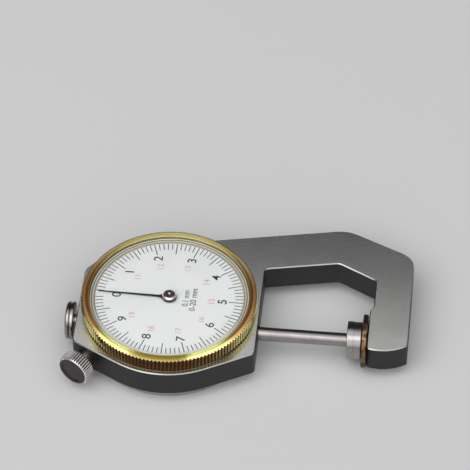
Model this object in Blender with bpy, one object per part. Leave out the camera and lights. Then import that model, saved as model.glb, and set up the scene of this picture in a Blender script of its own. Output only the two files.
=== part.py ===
"""Round dial thickness gauge for the hand, with a red and black dial of two turns.

A flat C-shaped frame carries the dial at its left and a fixed anvil on its arm. A sprung
spindle with a moving anvil runs through the body, and a button at its rear end pulls the
jaws open. The spindle's rack turns the centre pinion and the pointer, 10 mm for one turn.

Metres, +Z up. The gauge lies on its back cover, and the origin is the centre of that
cover's outer face. The dial's axis is Z. The spindle lies along X and opens towards -X.
"""

import math

import bmesh
import bpy
from mathutils import Vector

# Clearances
FIT_GAP = 0.0002
RUN_GAP = 0.0002
OVERRUN = 0.001

# Facets of a full circle, by the size of the piece
FINE_SEGMENTS = 64
MEDIUM_SEGMENTS = 32
SMALL_SEGMENTS = 16
FACET_LENGTH = 0.0025
ANGLE_DECIMALS = 12

# Frame: thickness, body around the dial
FRAME_THICKNESS = 0.0097
FRAME_EDGE = 0.0003
BODY_SIDE_MARGIN = 0.0009
BODY_FRONT_MARGIN = 0.00125
BODY_CORNER_DROP = 0.0187
BODY_CORNER_FILLET = 0.0016
SHOULDER_WIDTH = 0.01
SHOULDER_DROP = 0.01088
SHOULDER_FILLET = 0.004

# Frame: back edge, throat and arm
BACK_EDGE_SETBACK = 0.0006
BACK_SLOPE_DEG = 11.2
PEAK_SETBACK = 0.0235
PEAK_FILLET = 0.0122
ARM_SLOPE_DEG = 24.7
ARM_WIDTH = 0.0135
ARM_OUTER_FILLET = 0.0064
ARM_RELIEF = 0.0012
ARM_RELIEF_FILLET = 0.0015
PAD_ABOVE_AXIS = 0.0093
PAD_RAMP = 0.0023
ARM_END_BELOW_AXIS = 0.00785
ARM_END_RADIUS = 0.016
ARM_END_CENTRE = 0.0042
ARM_END_FILLET = 0.001
THROAT_WIDTH = 0.0366
THROAT_TOP = 0.0195
THROAT_FILLET = 0.0015
THROAT_BEND_SETBACK = 0.0118
THROAT_BEND_FILLET = 0.003
THROAT_SLOPE_DEG = 27.5

# Frame: movement pocket, web above it, and the seat that the bezel turns on
WEB_THICKNESS = 0.0016
SEAT_WALL = 0.0024
SEAT_LAND = 0.0002
SEAT_GROOVE_DEPTH = 0.0005
SEAT_GROOVE_WIDTH = 0.001

# Back cover and its screws
COVER_DEPTH = 0.0045
COVER_RIM = 0.0038
COVER_EDGE = 0.0002
COVER_RECESS_MARGIN = 0.001
COVER_FLOOR = 0.0016
COVER_SCREW_ANGLES_DEG = (45.0, 135.0, 225.0, 315.0)
COVER_SCREW_RADIUS = 0.00075
COVER_SCREW_LENGTH = 0.0062
COVER_HEAD_RADIUS = 0.0014
COVER_HEAD_HEIGHT = 0.0009
COVER_COUNTERBORE_DEPTH = 0.0013
SCREW_SLOT_WIDTH = 0.0004
SCREW_SLOT_DEPTH = 0.0004

# Bezel, with the knurl on its rim
BEZEL_RADIUS = 0.0294
BEZEL_WALL = 0.0022
BEZEL_LIP_OVERHANG = 0.0005
BEZEL_LIP_THICKNESS = 0.0004
BEZEL_FOOT_OVERHANG = 0.00045
BEZEL_FOOT_HEIGHT = 0.0005
BEZEL_PLAY = 0.00035
BEZEL_EDGE = 0.0005
BEZEL_KNURL_DEPTH = 0.0003
BEZEL_KNURL_RIDGES = 48
CLIP_GROOVE_DEPTH = 0.0005
CLIP_GROOVE_WIDTH = 0.0008
CLIP_THICKNESS = 0.0006
CLIP_OVERHANG = 0.00055
CLIP_OPEN_DEG = 12.0
WIRE_RING_WIRE = 0.00035
WIRE_RING_LIFT = 0.00005
WIRE_RING_OPEN_DEG = 16.0

# Dial, its ring and the crystal
DIAL_RISE = 0.001
DIAL_THICKNESS = 0.0005
DIAL_HOLE_RADIUS = 0.0013
RING_SLOPE_WIDTH = 0.0019
RING_INNER_HEIGHT = 0.0002
RING_OUTER_HEIGHT = 0.00054
CRYSTAL_THICKNESS = 0.0005
CRYSTAL_DOME = 0.0015
CRYSTAL_RIM_WIDTH = 0.0009
CRYSTAL_DOME_ROWS = 3
STACK_GAP = 0.00012

# Spindle, its bushes and the button
SPINDLE_OFFSET = 0.0055
SPINDLE_RADIUS = 0.0023
TRAVEL_MARGIN = 0.004
SPINDLE_NOSE_RADIUS = 0.0015
SPINDLE_NOSE_LENGTH = 0.0024
RACK_FLAT_DEPTH = 0.0005
RACK_FLAT_MARGIN = 0.0006
BUSH_RADIUS = 0.003
BUSH_SETBACK = 0.0003
BUSH_PROUD = 0.0002
BUTTON_GAP = 0.0011
BUTTON_RADIUS = 0.0064
BUTTON_THICKNESS = 0.0027
BUTTON_EDGE = 0.0007
BUTTON_GROOVE_DEPTH = 0.0004
BUTTON_GROOVE_WIDTH = 0.0003
BUTTON_FACE_LAND = 0.0008
BUTTON_DOME_HEIGHT = 0.0006
BUTTON_DOME_RADIUS = 0.0042
BUTTON_DOME_SHARES = ((1, 0), (0.8, 0.6), (0.4, 0.95), (0, 1))

# Anvils
ANVIL_RADIUS = 0.0064
ANVIL_LENGTH = 0.0049
ANVIL_EDGE = 0.0003
ANVIL_STEP = 0.00015
ANVIL_RING_LENGTH = 0.0022
ANVIL_GROOVE_DEPTH = 0.00025
ANVIL_GROOVE_WIDTH = 0.0002
FIXED_ANVIL_RADIUS = 0.0089
FIXED_ANVIL_THICKNESS = 0.0016
FIXED_ANVIL_EDGE = 0.0003
FIXED_SHANK_RADIUS = 0.002
FIXED_SHANK_LENGTH = 0.008

# Rack and pinion: one turn of the pointer for each TRAVEL_PER_TURN
TRAVEL_PER_TURN = 0.01
PINION_TEETH = 10
RACK_END_TEETH = 2
TOOTH_ADDENDUM = 0.00026
TOOTH_DEDENDUM = 0.00042
TOOTH_PLAY = 0.00014
PRESSURE_ANGLE_DEG = 20.0
ROOT_WIDTH_SHARE = 0.82
RACK_HEIGHT = 0.003
RACK_SCREW_RADIUS = 0.0006
RACK_SCREW_BITE = 0.0009
RACK_SCREW_SHARE = 0.9
RACK_HEAD_RADIUS = 0.0013
RACK_HEAD_HEIGHT = 0.0008
GUIDE_PIN_SHARE = 0.6
GUIDE_PIN_RADIUS = 0.0006
GUIDE_PIN_BITE = 0.0012
SPRING_PEG_SHARE = 0.3
SPRING_PEG_HEAD_RADIUS = 0.0009
SPRING_PEG_HEAD_HEIGHT = 0.0005

# Centre arbor and its bushes
ARBOR_RADIUS = 0.00075
PIVOT_RADIUS = 0.0004
PIVOT_LENGTH = 0.0014
PINION_END_GAP = 0.00035
UPPER_BUSH_RADIUS = 0.002
UPPER_BUSH_FLANGE = 0.0028
UPPER_BUSH_FLANGE_HEIGHT = 0.0005
LOWER_BUSH_RADIUS = 0.0015
LOWER_BUSH_HEIGHT = 0.0018

# Pointer and its boss
POINTER_LIFT = 0.0006
POINTER_THICKNESS = 0.0002
POINTER_TIP_MARGIN = 0.0013
POINTER_ROOT_WIDTH = 0.0011
POINTER_TIP_WIDTH = 0.00025
POINTER_HUB_RADIUS = 0.0026
BOSS_RADIUS = 0.00225
BOSS_HEIGHT = 0.001
BOSS_RIM = 0.0003
BOSS_BORE_DEPTH = 0.0004
BOSS_DOME_ROWS = 4

# Movement plate, pillars and their screws
PLATE_RISE = 0.0005
PLATE_THICKNESS = 0.001
PLATE_MARGIN = 0.0004
PILLAR_SETBACK = 0.005
PILLAR_ANGLES_DEG = (40.0, 140.0, 270.0)
PILLAR_RADIUS = 0.0019
PLATE_SCREW_RADIUS = 0.0008
PLATE_SCREW_BITE = 0.001
PLATE_HEAD_RADIUS = 0.0015
PLATE_HEAD_HEIGHT = 0.0008

# Take-up gear and hairspring
TAKE_UP_TEETH = 40
GEAR_THICKNESS = 0.0008
TAKE_UP_ARBOR_RADIUS = 0.0009
TAKE_UP_PIVOT_BITE = 0.001
COLLET_WALL = 0.0005
COLLET_HEIGHT = 0.0009
HAIRSPRING_TURNS = 5
HAIRSPRING_STEP = 0.0006
HAIRSPRING_BLADE = 0.00015
HAIRSPRING_HEIGHT = 0.0007
HAIRSPRING_TURN_POINTS = 12
STUD_RADIUS = 0.0006

# Return spring, which pulls the jaws shut
RETURN_SPRING_OFFSET = 0.0055
RETURN_SPRING_RADIUS = 0.0015
RETURN_SPRING_WIRE = 0.00025
RETURN_SPRING_TURNS = 9
RETURN_SPRING_TURN_POINTS = 8
SPRING_POST_SETBACK = 0.00135
SPRING_POST_RADIUS = 0.0008
SPRING_POST_BITE = 0.001
SPRING_POST_DROP = 0.0013

# Lock screw, its sleeve and its pad
LOCK_SETBACK = 0.0053
LOCK_FEED = 0.00025
LOCK_TOUCH = 0.0001
LOCK_SCREW_RADIUS = 0.0015
LOCK_PAD_LENGTH = 0.0018
LOCK_SLEEVE_RADIUS = 0.0028
LOCK_NECK_LENGTH = 0.0028
LOCK_HEAD_RADIUS = 0.00575
LOCK_HEAD_LENGTH = 0.0045
LOCK_HEAD_EDGE = 0.0006
LOCK_KNURL_RIDGES = 24
LOCK_KNURL_DEPTH = 0.00035
LOCK_DISH_RADIUS = 0.0042
LOCK_DISH_DEPTH = 0.0003

# Radii that follow from the bezel's, and the travel that the rack has in the pocket
BEZEL_BORE_RADIUS = BEZEL_RADIUS - BEZEL_WALL
BEZEL_LIP_RADIUS = BEZEL_BORE_RADIUS - BEZEL_LIP_OVERHANG
BEZEL_FOOT_RADIUS = BEZEL_BORE_RADIUS - BEZEL_FOOT_OVERHANG
SEAT_RADIUS = BEZEL_FOOT_RADIUS - BEZEL_PLAY
WIRE_RING_RADIUS = SEAT_RADIUS + RUN_GAP
RING_INNER_RADIUS = BEZEL_LIP_RADIUS - RING_SLOPE_WIDTH
POINTER_LENGTH = RING_INNER_RADIUS - POINTER_TIP_MARGIN
POCKET_RADIUS = SEAT_RADIUS - SEAT_WALL
COVER_RADIUS = POCKET_RADIUS + COVER_RIM
COVER_SCREW_CIRCLE = (POCKET_RADIUS + COVER_RADIUS) / 2
PILLAR_CIRCLE = POCKET_RADIUS - PILLAR_SETBACK
SPINDLE_TRAVEL = POCKET_RADIUS - TRAVEL_MARGIN

# Outline of the frame that follows from the sizes above
BODY_HALF_WIDTH = BEZEL_RADIUS + BODY_SIDE_MARGIN
BODY_FRONT_RADIUS = BEZEL_RADIUS + BODY_FRONT_MARGIN
BACK_EDGE_HEIGHT = BEZEL_RADIUS - BACK_EDGE_SETBACK
SHOULDER_X = BODY_HALF_WIDTH - SHOULDER_WIDTH
ARM_FACE_X = BODY_HALF_WIDTH + THROAT_WIDTH
ARM_OUTER_X = ARM_FACE_X + ARM_WIDTH
THROAT_BEND_X = ARM_FACE_X - THROAT_BEND_SETBACK
PEAK_X = ARM_OUTER_X - PEAK_SETBACK
PAD_TOP = PAD_ABOVE_AXIS - SPINDLE_OFFSET
ARM_END_REACH = SPINDLE_OFFSET + ARM_END_BELOW_AXIS

# Heights that follow from the sizes above
FRAME_BOTTOM = COVER_DEPTH
FRAME_TOP = FRAME_BOTTOM + FRAME_THICKNESS
SPINDLE_Z = FRAME_BOTTOM + FRAME_THICKNESS / 2
WEB_BOTTOM = FRAME_TOP - WEB_THICKNESS
BEZEL_BOTTOM = FRAME_TOP + RUN_GAP
WIRE_RING_Z = BEZEL_BOTTOM + BEZEL_FOOT_HEIGHT + WIRE_RING_LIFT + WIRE_RING_WIRE
SEAT_GROOVE_TOP = WIRE_RING_Z + SEAT_GROOVE_WIDTH / 2
SEAT_TOP = SEAT_GROOVE_TOP + SEAT_LAND
DIAL_TOP = SEAT_TOP + DIAL_RISE + DIAL_THICKNESS
RING_BOTTOM = DIAL_TOP + STACK_GAP
CRYSTAL_BOTTOM = RING_BOTTOM + RING_OUTER_HEIGHT + STACK_GAP
LIP_BOTTOM = CRYSTAL_BOTTOM + CRYSTAL_THICKNESS + STACK_GAP
BEZEL_TOP = LIP_BOTTOM + BEZEL_LIP_THICKNESS
PLATE_BOTTOM = FRAME_BOTTOM + PLATE_RISE
PLATE_TOP = PLATE_BOTTOM + PLATE_THICKNESS

# Places along the spindle that follow from the sizes above
FIXED_FACE_X = ARM_FACE_X - FIT_GAP - FIXED_ANVIL_THICKNESS
ANVIL_FACE_X = FIXED_FACE_X - RUN_GAP
ANVIL_BACK_X = ANVIL_FACE_X - ANVIL_LENGTH
BUTTON_FACE_X = -BODY_HALF_WIDTH - BUTTON_GAP
RACK_SCREW_X = SPINDLE_TRAVEL * RACK_SCREW_SHARE
GUIDE_PIN_X = SPINDLE_TRAVEL * GUIDE_PIN_SHARE
SPRING_PEG_X = SPINDLE_TRAVEL * SPRING_PEG_SHARE
SPRING_Y = -SPINDLE_OFFSET - RETURN_SPRING_OFFSET
SPRING_POST_X = math.sqrt((POCKET_RADIUS - SPRING_POST_SETBACK) ** 2 - SPRING_Y ** 2)
PINION_PITCH_RADIUS = TRAVEL_PER_TURN / (2 * math.pi)
TOOTH_PITCH = TRAVEL_PER_TURN / PINION_TEETH
TAKE_UP_PITCH_RADIUS = TAKE_UP_TEETH * TOOTH_PITCH / (2 * math.pi)
TAKE_UP_Y = PINION_PITCH_RADIUS + TAKE_UP_PITCH_RADIUS
PINION_BOTTOM = SPINDLE_Z - RACK_HEIGHT / 2 - RUN_GAP
PINION_TOP = WEB_BOTTOM - PINION_END_GAP

UP = Vector((0, 0, 1))


def polar(radius, degrees):
    """A point in the XY plane at this distance and direction from the Z axis.

    The direction is rounded, so that points meant to share an axis do so exactly.
    """
    angle = math.radians(degrees)
    return radius * round(math.cos(angle), ANGLE_DECIMALS), radius * round(math.sin(angle), ANGLE_DECIMALS)


def finish(name, color, metallic, roughness):
    """A Principled BSDF material with the piece's colour, metallic value and roughness."""
    material = bpy.data.materials.new(name)
    material.use_nodes = True
    shader = material.node_tree.nodes["Principled BSDF"]
    shader.inputs["Base Color"].default_value = (*color, 1)
    shader.inputs["Metallic"].default_value = metallic
    shader.inputs["Roughness"].default_value = roughness
    material.diffuse_color = (*color, 1)
    return material


def axis_empty(name, location, rotation=(0, 0, 0)):
    """An empty on a joint's axis, which carries the pieces that move about or along it."""
    empty = bpy.data.objects.new(name, None)
    bpy.context.scene.collection.objects.link(empty)
    empty.location = location
    empty.rotation_euler = rotation
    return empty


def place(name, data, look=None, parent=None, location=(0, 0, 0), rotation=(0, 0, 0)):
    """Link a piece to the scene under its parent, and give it its material."""
    piece = bpy.data.objects.new(name, data)
    bpy.context.scene.collection.objects.link(piece)
    piece.parent = parent
    piece.location = location
    piece.rotation_euler = rotation
    if look:
        data.materials.append(look)
    return piece


def closed_mesh(name, bm, smooth_deg=32):
    """Turn a closed bmesh into a mesh whose faces point out, smooth where it is round."""
    bmesh.ops.recalc_face_normals(bm, faces=bm.faces)
    mesh = bpy.data.meshes.new(name)
    bm.to_mesh(mesh)
    bm.free()
    mesh.shade_smooth()
    mesh.set_sharp_from_angle(angle=math.radians(smooth_deg))
    return mesh


def turned(name, profile, segments, knurl_radius=0, knurl_depth=0):
    """A solid turned about Z from a closed outline of (radius, height) points.

    Every second point at knurl_radius is sunk by knurl_depth.
    """
    bm = bmesh.new()
    rings = []
    for radius, height in profile:
        if radius == 0:
            rings.append([bm.verts.new((0, 0, height))] * segments)
            continue
        ring = []
        for i in range(segments):
            sunk = knurl_depth if radius == knurl_radius and i % 2 else 0
            x, y = polar(radius - sunk, 360 * i / segments)
            ring.append(bm.verts.new((x, y, height)))
        rings.append(ring)
    for row, ring in enumerate(rings):
        below = rings[row - 1]
        if ring[0] is ring[1] and below[0] is below[1]:
            continue
        for i in range(segments):
            j = (i + 1) % segments
            corners = []
            for vert in (below[i], below[j], ring[j], ring[i]):
                if vert not in corners:
                    corners.append(vert)
            bm.faces.new(corners)
    return closed_mesh(name, bm)


def rod(name, low, high, radius, segments=SMALL_SEGMENTS):
    """A plain round bar along Z."""
    return turned(name, [(0, low), (radius, low), (radius, high), (0, high)], segments)


def tube(name, low, high, inner, outer, segments=SMALL_SEGMENTS):
    """A plain ring or sleeve along Z."""
    return turned(name, [(inner, low), (outer, low), (outer, high), (inner, high)], segments)


def prism(name, outline, low, high, edge=0):
    """An outline in XY, extruded from low to high, with its rims chamfered by edge."""
    bm = bmesh.new()
    face = bm.faces.new([bm.verts.new((x, y, low)) for x, y in outline])
    raised = bmesh.ops.extrude_face_region(bm, geom=[face])
    top = [item for item in raised["geom"] if isinstance(item, bmesh.types.BMVert)]
    bmesh.ops.translate(bm, vec=UP * (high - low), verts=top)
    bmesh.ops.recalc_face_normals(bm, faces=bm.faces)
    if edge:
        rims = [e for e in bm.edges if e.verts[0].co.z == e.verts[1].co.z]
        bmesh.ops.bevel(bm, geom=rims, offset=edge, segments=1, affect="EDGES", clamp_overlap=False)
    return closed_mesh(name, bm)


def box(name, low, high):
    """A box between two corners."""
    outline = [(low[0], low[1]), (high[0], low[1]), (high[0], high[1]), (low[0], high[1])]
    return prism(name, outline, low[2], high[2])


def wire(name, points, radius, sides_resolution=1):
    """A round wire along its points: a curve with a bevel and filled caps."""
    curve = bpy.data.curves.new(name, "CURVE")
    curve.dimensions = "3D"
    curve.bevel_depth = radius
    curve.bevel_resolution = sides_resolution
    curve.use_fill_caps = True
    spline = curve.splines.new("POLY")
    spline.points.add(len(points) - 1)
    for point, place_on_wire in zip(spline.points, points):
        point.co = (*place_on_wire, 1)
    return curve


def shape_with(target, tool, operation):
    """Cut the tool from the target, or join it on. The tool itself isn't a piece."""
    tool.hide_render = True
    tool.display_type = "WIRE"
    modifier = target.modifiers.new(tool.name, "BOOLEAN")
    modifier.operation = operation
    modifier.solver = "EXACT"
    modifier.object = tool


def cut(target, name, data, **where):
    """Cut a shape from a piece."""
    shape_with(target, place(name, data, **where), "DIFFERENCE")


def join(target, name, data, **where):
    """Join a shape to a piece."""
    shape_with(target, place(name, data, **where), "UNION")


def rounded(corners):
    """An outline's points from its (x, y, fillet radius) corners, each fillet as an arc."""
    points = []
    for i, (x, y, radius) in enumerate(corners):
        if not radius:
            points.append((x, y))
            continue
        corner = Vector((x, y))
        before = (Vector(corners[i - 1][:2]) - corner).normalized()
        after = (Vector(corners[(i + 1) % len(corners)][:2]) - corner).normalized()
        opening = before.angle(after)
        start = corner + before * radius / math.tan(opening / 2)
        end = corner + after * radius / math.tan(opening / 2)
        centre = corner + (before + after).normalized() * radius / math.sin(opening / 2)
        first = start - centre
        sweep = first.angle_signed(end - centre)
        steps = max(2, math.ceil(radius * abs(sweep) / FACET_LENGTH))
        for k in range(steps + 1):
            turn = -sweep * k / steps
            points.append((
                centre.x + first.x * math.cos(turn) - first.y * math.sin(turn),
                centre.y + first.x * math.sin(turn) + first.y * math.cos(turn),
            ))
    return points


def arc(centre, radius, start_deg, end_deg):
    """Points along an arc, both ends included."""
    length = radius * math.radians(abs(end_deg - start_deg))
    steps = max(2, math.ceil(length / FACET_LENGTH))
    points = []
    for k in range(steps + 1):
        x, y = polar(radius, start_deg + (end_deg - start_deg) * k / steps)
        points.append((centre[0] + x, centre[1] + y))
    return points


def front_normal_deg():
    """Direction of the outward normal of the body's slanted front right face."""
    corner_distance = math.hypot(BODY_HALF_WIDTH, BODY_CORNER_DROP)
    corner_angle = math.atan2(-BODY_CORNER_DROP, BODY_HALF_WIDTH)
    return math.degrees(corner_angle - math.acos(BODY_FRONT_RADIUS / corner_distance))


def back_edge_y(x):
    """Height of the frame's straight back edge at x."""
    return BACK_EDGE_HEIGHT + x * math.tan(math.radians(BACK_SLOPE_DEG))


def throat_y(x):
    """Height of the throat's top edge at x, from the body to its bend."""
    return THROAT_TOP + (x - BODY_HALF_WIDTH) * math.tan(math.radians(BACK_SLOPE_DEG))


def frame_outline():
    """The C-shaped frame seen from above, counter-clockwise from the front right corner."""
    relief_x = ARM_FACE_X + ARM_RELIEF
    bend_y = throat_y(THROAT_BEND_X)
    relief_y = bend_y - (relief_x - THROAT_BEND_X) * math.tan(math.radians(THROAT_SLOPE_DEG))
    peak_y = back_edge_y(PEAK_X)
    outer_y = peak_y - (ARM_OUTER_X - PEAK_X) * math.tan(math.radians(ARM_SLOPE_DEG))
    end_centre = (ARM_FACE_X + ARM_END_CENTRE, ARM_END_RADIUS - ARM_END_REACH)
    start_deg = -90 - math.degrees(math.asin(ARM_END_CENTRE / ARM_END_RADIUS))
    end_deg = -90 + math.degrees(math.asin((ARM_WIDTH - ARM_END_CENTRE) / ARM_END_RADIUS))
    end_arc = arc(end_centre, ARM_END_RADIUS, start_deg, end_deg)
    apex_y = BODY_FRONT_RADIUS / math.sin(math.radians(front_normal_deg()))
    shoulder_y = back_edge_y(-SHOULDER_X)
    corners = [
        (BODY_HALF_WIDTH, -BODY_CORNER_DROP, BODY_CORNER_FILLET),
        (BODY_HALF_WIDTH, THROAT_TOP, THROAT_FILLET),
        (THROAT_BEND_X, bend_y, THROAT_BEND_FILLET),
        (relief_x, relief_y, ARM_RELIEF_FILLET),
        (relief_x, PAD_TOP + PAD_RAMP, 0),
        (ARM_FACE_X, PAD_TOP, 0),
        (*end_arc[0], ARM_END_FILLET),
        *[(x, y, 0) for x, y in end_arc[1:-1]],
        (*end_arc[-1], ARM_END_FILLET),
        (ARM_OUTER_X, outer_y, ARM_OUTER_FILLET),
        (PEAK_X, peak_y, PEAK_FILLET),
        (-SHOULDER_X, shoulder_y, SHOULDER_FILLET),
        (-BODY_HALF_WIDTH, shoulder_y - SHOULDER_DROP, SHOULDER_FILLET),
        (-BODY_HALF_WIDTH, -BODY_CORNER_DROP, BODY_CORNER_FILLET),
        (0, apex_y, BODY_FRONT_RADIUS),
    ]
    return rounded(corners)


def seat_ring():
    """The raised ring that the bezel turns on, with the groove of its wire ring."""
    groove_low = SEAT_GROOVE_TOP - SEAT_GROOVE_WIDTH
    groove_radius = SEAT_RADIUS - SEAT_GROOVE_DEPTH
    profile = [
        (POCKET_RADIUS, WEB_BOTTOM + WEB_THICKNESS / 2),
        (SEAT_RADIUS, WEB_BOTTOM + WEB_THICKNESS / 2),
        (SEAT_RADIUS, groove_low),
        (groove_radius, groove_low),
        (groove_radius, SEAT_GROOVE_TOP),
        (SEAT_RADIUS, SEAT_GROOVE_TOP),
        (SEAT_RADIUS, SEAT_TOP),
        (POCKET_RADIUS, SEAT_TOP),
    ]
    return turned("seat_ring", profile, FINE_SEGMENTS)


def lock_axis_place():
    """Where the lock screw's axis meets the spindle's, and the axis's outward direction."""
    outward_deg = 180 - front_normal_deg()
    out_x, out_y = polar(1, outward_deg)
    foot_x = -BODY_HALF_WIDTH - out_y * LOCK_SETBACK
    foot_y = -BODY_CORNER_DROP + out_x * LOCK_SETBACK
    reach = (foot_y + SPINDLE_OFFSET) / out_y
    centre = (foot_x - out_x * reach, -SPINDLE_OFFSET, SPINDLE_Z)
    return centre, outward_deg, reach


def clear_of_spindle(radius, outward_deg):
    """How far from the spindle's axis a bar on the lock screw's axis clears the spindle."""
    lean = math.radians(outward_deg)
    return (SPINDLE_RADIUS + radius * abs(math.cos(lean))) / abs(math.sin(lean))


def build_frame(look):
    """The C-shaped frame with its seat, pocket, bores and threaded holes."""
    frame = place("frame", prism("frame", frame_outline(), FRAME_BOTTOM, FRAME_TOP, FRAME_EDGE), look)
    join(frame, "frame_seat", seat_ring())
    pocket = rod("pocket", FRAME_BOTTOM - OVERRUN, WEB_BOTTOM, POCKET_RADIUS, FINE_SEGMENTS)
    cut(frame, "frame_pocket", pocket)
    along_x = (0, math.pi / 2, 0)
    axis_at = (0, -SPINDLE_OFFSET, SPINDLE_Z)
    wall = BODY_HALF_WIDTH - POCKET_RADIUS
    bore = rod("bush_bore", POCKET_RADIUS - wall, BODY_HALF_WIDTH + OVERRUN, BUSH_RADIUS + FIT_GAP)
    cut(frame, "right_bush_bore", bore, location=axis_at, rotation=along_x)
    cut(frame, "left_bush_bore", bore, location=axis_at, rotation=(0, -math.pi / 2, 0))
    shank_high = ARM_FACE_X + FIXED_SHANK_LENGTH + FIT_GAP
    shank_bore = rod("shank_bore", ARM_FACE_X - OVERRUN, shank_high, FIXED_SHANK_RADIUS + FIT_GAP)
    cut(frame, "anvil_bore", shank_bore, location=axis_at, rotation=along_x)
    centre, outward_deg, reach = lock_axis_place()
    sleeve_bore = rod("sleeve_bore", 0, reach + OVERRUN, LOCK_SLEEVE_RADIUS + FIT_GAP)
    lock_turn = (0, math.pi / 2, math.radians(outward_deg))
    cut(frame, "lock_bore", sleeve_bore, location=centre, rotation=lock_turn)
    centre_hole = rod("centre_hole", WEB_BOTTOM - OVERRUN, FRAME_TOP + OVERRUN, UPPER_BUSH_RADIUS + FIT_GAP)
    cut(frame, "upper_bush_hole", centre_hole)
    pivot_top = WEB_BOTTOM + TAKE_UP_PIVOT_BITE + FIT_GAP
    pivot_hole = rod("pivot_hole", WEB_BOTTOM - OVERRUN, pivot_top, PIVOT_RADIUS + RUN_GAP)
    cut(frame, "take_up_pivot_hole", pivot_hole, location=(0, TAKE_UP_Y, 0))
    screw_top = WEB_BOTTOM + PLATE_SCREW_BITE + FIT_GAP
    screw_hole = rod("web_hole", WEB_BOTTOM - OVERRUN, screw_top, PLATE_SCREW_RADIUS + FIT_GAP)
    for number, angle in enumerate(PILLAR_ANGLES_DEG, 1):
        cut(frame, f"pillar_hole_{number}", screw_hole, location=(*polar(PILLAR_CIRCLE, angle), 0))
    post_top = WEB_BOTTOM + SPRING_POST_BITE + FIT_GAP
    post_hole = rod("post_hole", WEB_BOTTOM - OVERRUN, post_top, SPRING_POST_RADIUS + FIT_GAP)
    cut(frame, "spring_post_hole", post_hole, location=(SPRING_POST_X, SPRING_Y, 0))
    thread_top = COVER_COUNTERBORE_DEPTH + COVER_SCREW_LENGTH + FIT_GAP
    thread = rod("cover_thread", FRAME_BOTTOM - OVERRUN, thread_top, COVER_SCREW_RADIUS + FIT_GAP)
    for number, angle in enumerate(COVER_SCREW_ANGLES_DEG, 1):
        cut(frame, f"cover_thread_{number}", thread, location=(*polar(COVER_SCREW_CIRCLE, angle), 0))


def headed_pin(name, head_radius, head_height, shank_radius, length):
    """A cheese-head screw or a headed pin along Z, its head's outer face at zero."""
    profile = [(0, 0), (head_radius, 0), (head_radius, head_height)]
    profile += [(shank_radius, head_height), (shank_radius, length), (0, length)]
    return turned(name, profile, SMALL_SEGMENTS)


def screw_slot(name, head_radius):
    """The cutter of a screw's slot, which starts just outside the head's outer face."""
    reach = head_radius + OVERRUN
    low = (-reach, -SCREW_SLOT_WIDTH / 2, -OVERRUN)
    high = (reach, SCREW_SLOT_WIDTH / 2, SCREW_SLOT_DEPTH)
    return box(name, low, high)


def build_back_cover(look, screw_look):
    """The round back cover that the gauge lies on, and its four screws."""
    top = FRAME_BOTTOM - FIT_GAP
    profile = [
        (0, 0),
        (COVER_RADIUS - COVER_EDGE, 0),
        (COVER_RADIUS, COVER_EDGE),
        (COVER_RADIUS, top),
        (POCKET_RADIUS - COVER_RECESS_MARGIN, top),
        (POCKET_RADIUS - COVER_RECESS_MARGIN, COVER_FLOOR),
        (0, COVER_FLOOR),
    ]
    cover = place("back_cover", turned("back_cover", profile, FINE_SEGMENTS), look)
    hole = rod("cover_hole", -OVERRUN, top + OVERRUN, COVER_SCREW_RADIUS + FIT_GAP)
    counterbore = rod("counterbore", -OVERRUN, COVER_COUNTERBORE_DEPTH, COVER_HEAD_RADIUS + FIT_GAP)
    head_low = COVER_COUNTERBORE_DEPTH - FIT_GAP - COVER_HEAD_HEIGHT
    head = (COVER_HEAD_RADIUS, COVER_HEAD_HEIGHT)
    screw = headed_pin("cover_screw", *head, COVER_SCREW_RADIUS, COVER_SCREW_LENGTH)
    slot = screw_slot("cover_screw_slot", COVER_HEAD_RADIUS)
    screw.materials.append(screw_look)
    for number, angle in enumerate(COVER_SCREW_ANGLES_DEG, 1):
        x, y = polar(COVER_SCREW_CIRCLE, angle)
        cut(cover, f"cover_hole_{number}", hole, location=(x, y, 0))
        cut(cover, f"cover_counterbore_{number}", counterbore, location=(x, y, 0))
        turn = (0, 0, math.radians(angle * 2))
        piece = place(f"cover_screw_{number}", screw, location=(x, y, head_low), rotation=turn)
        cut(piece, f"cover_screw_slot_{number}", slot, location=(x, y, head_low), rotation=turn)


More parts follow.
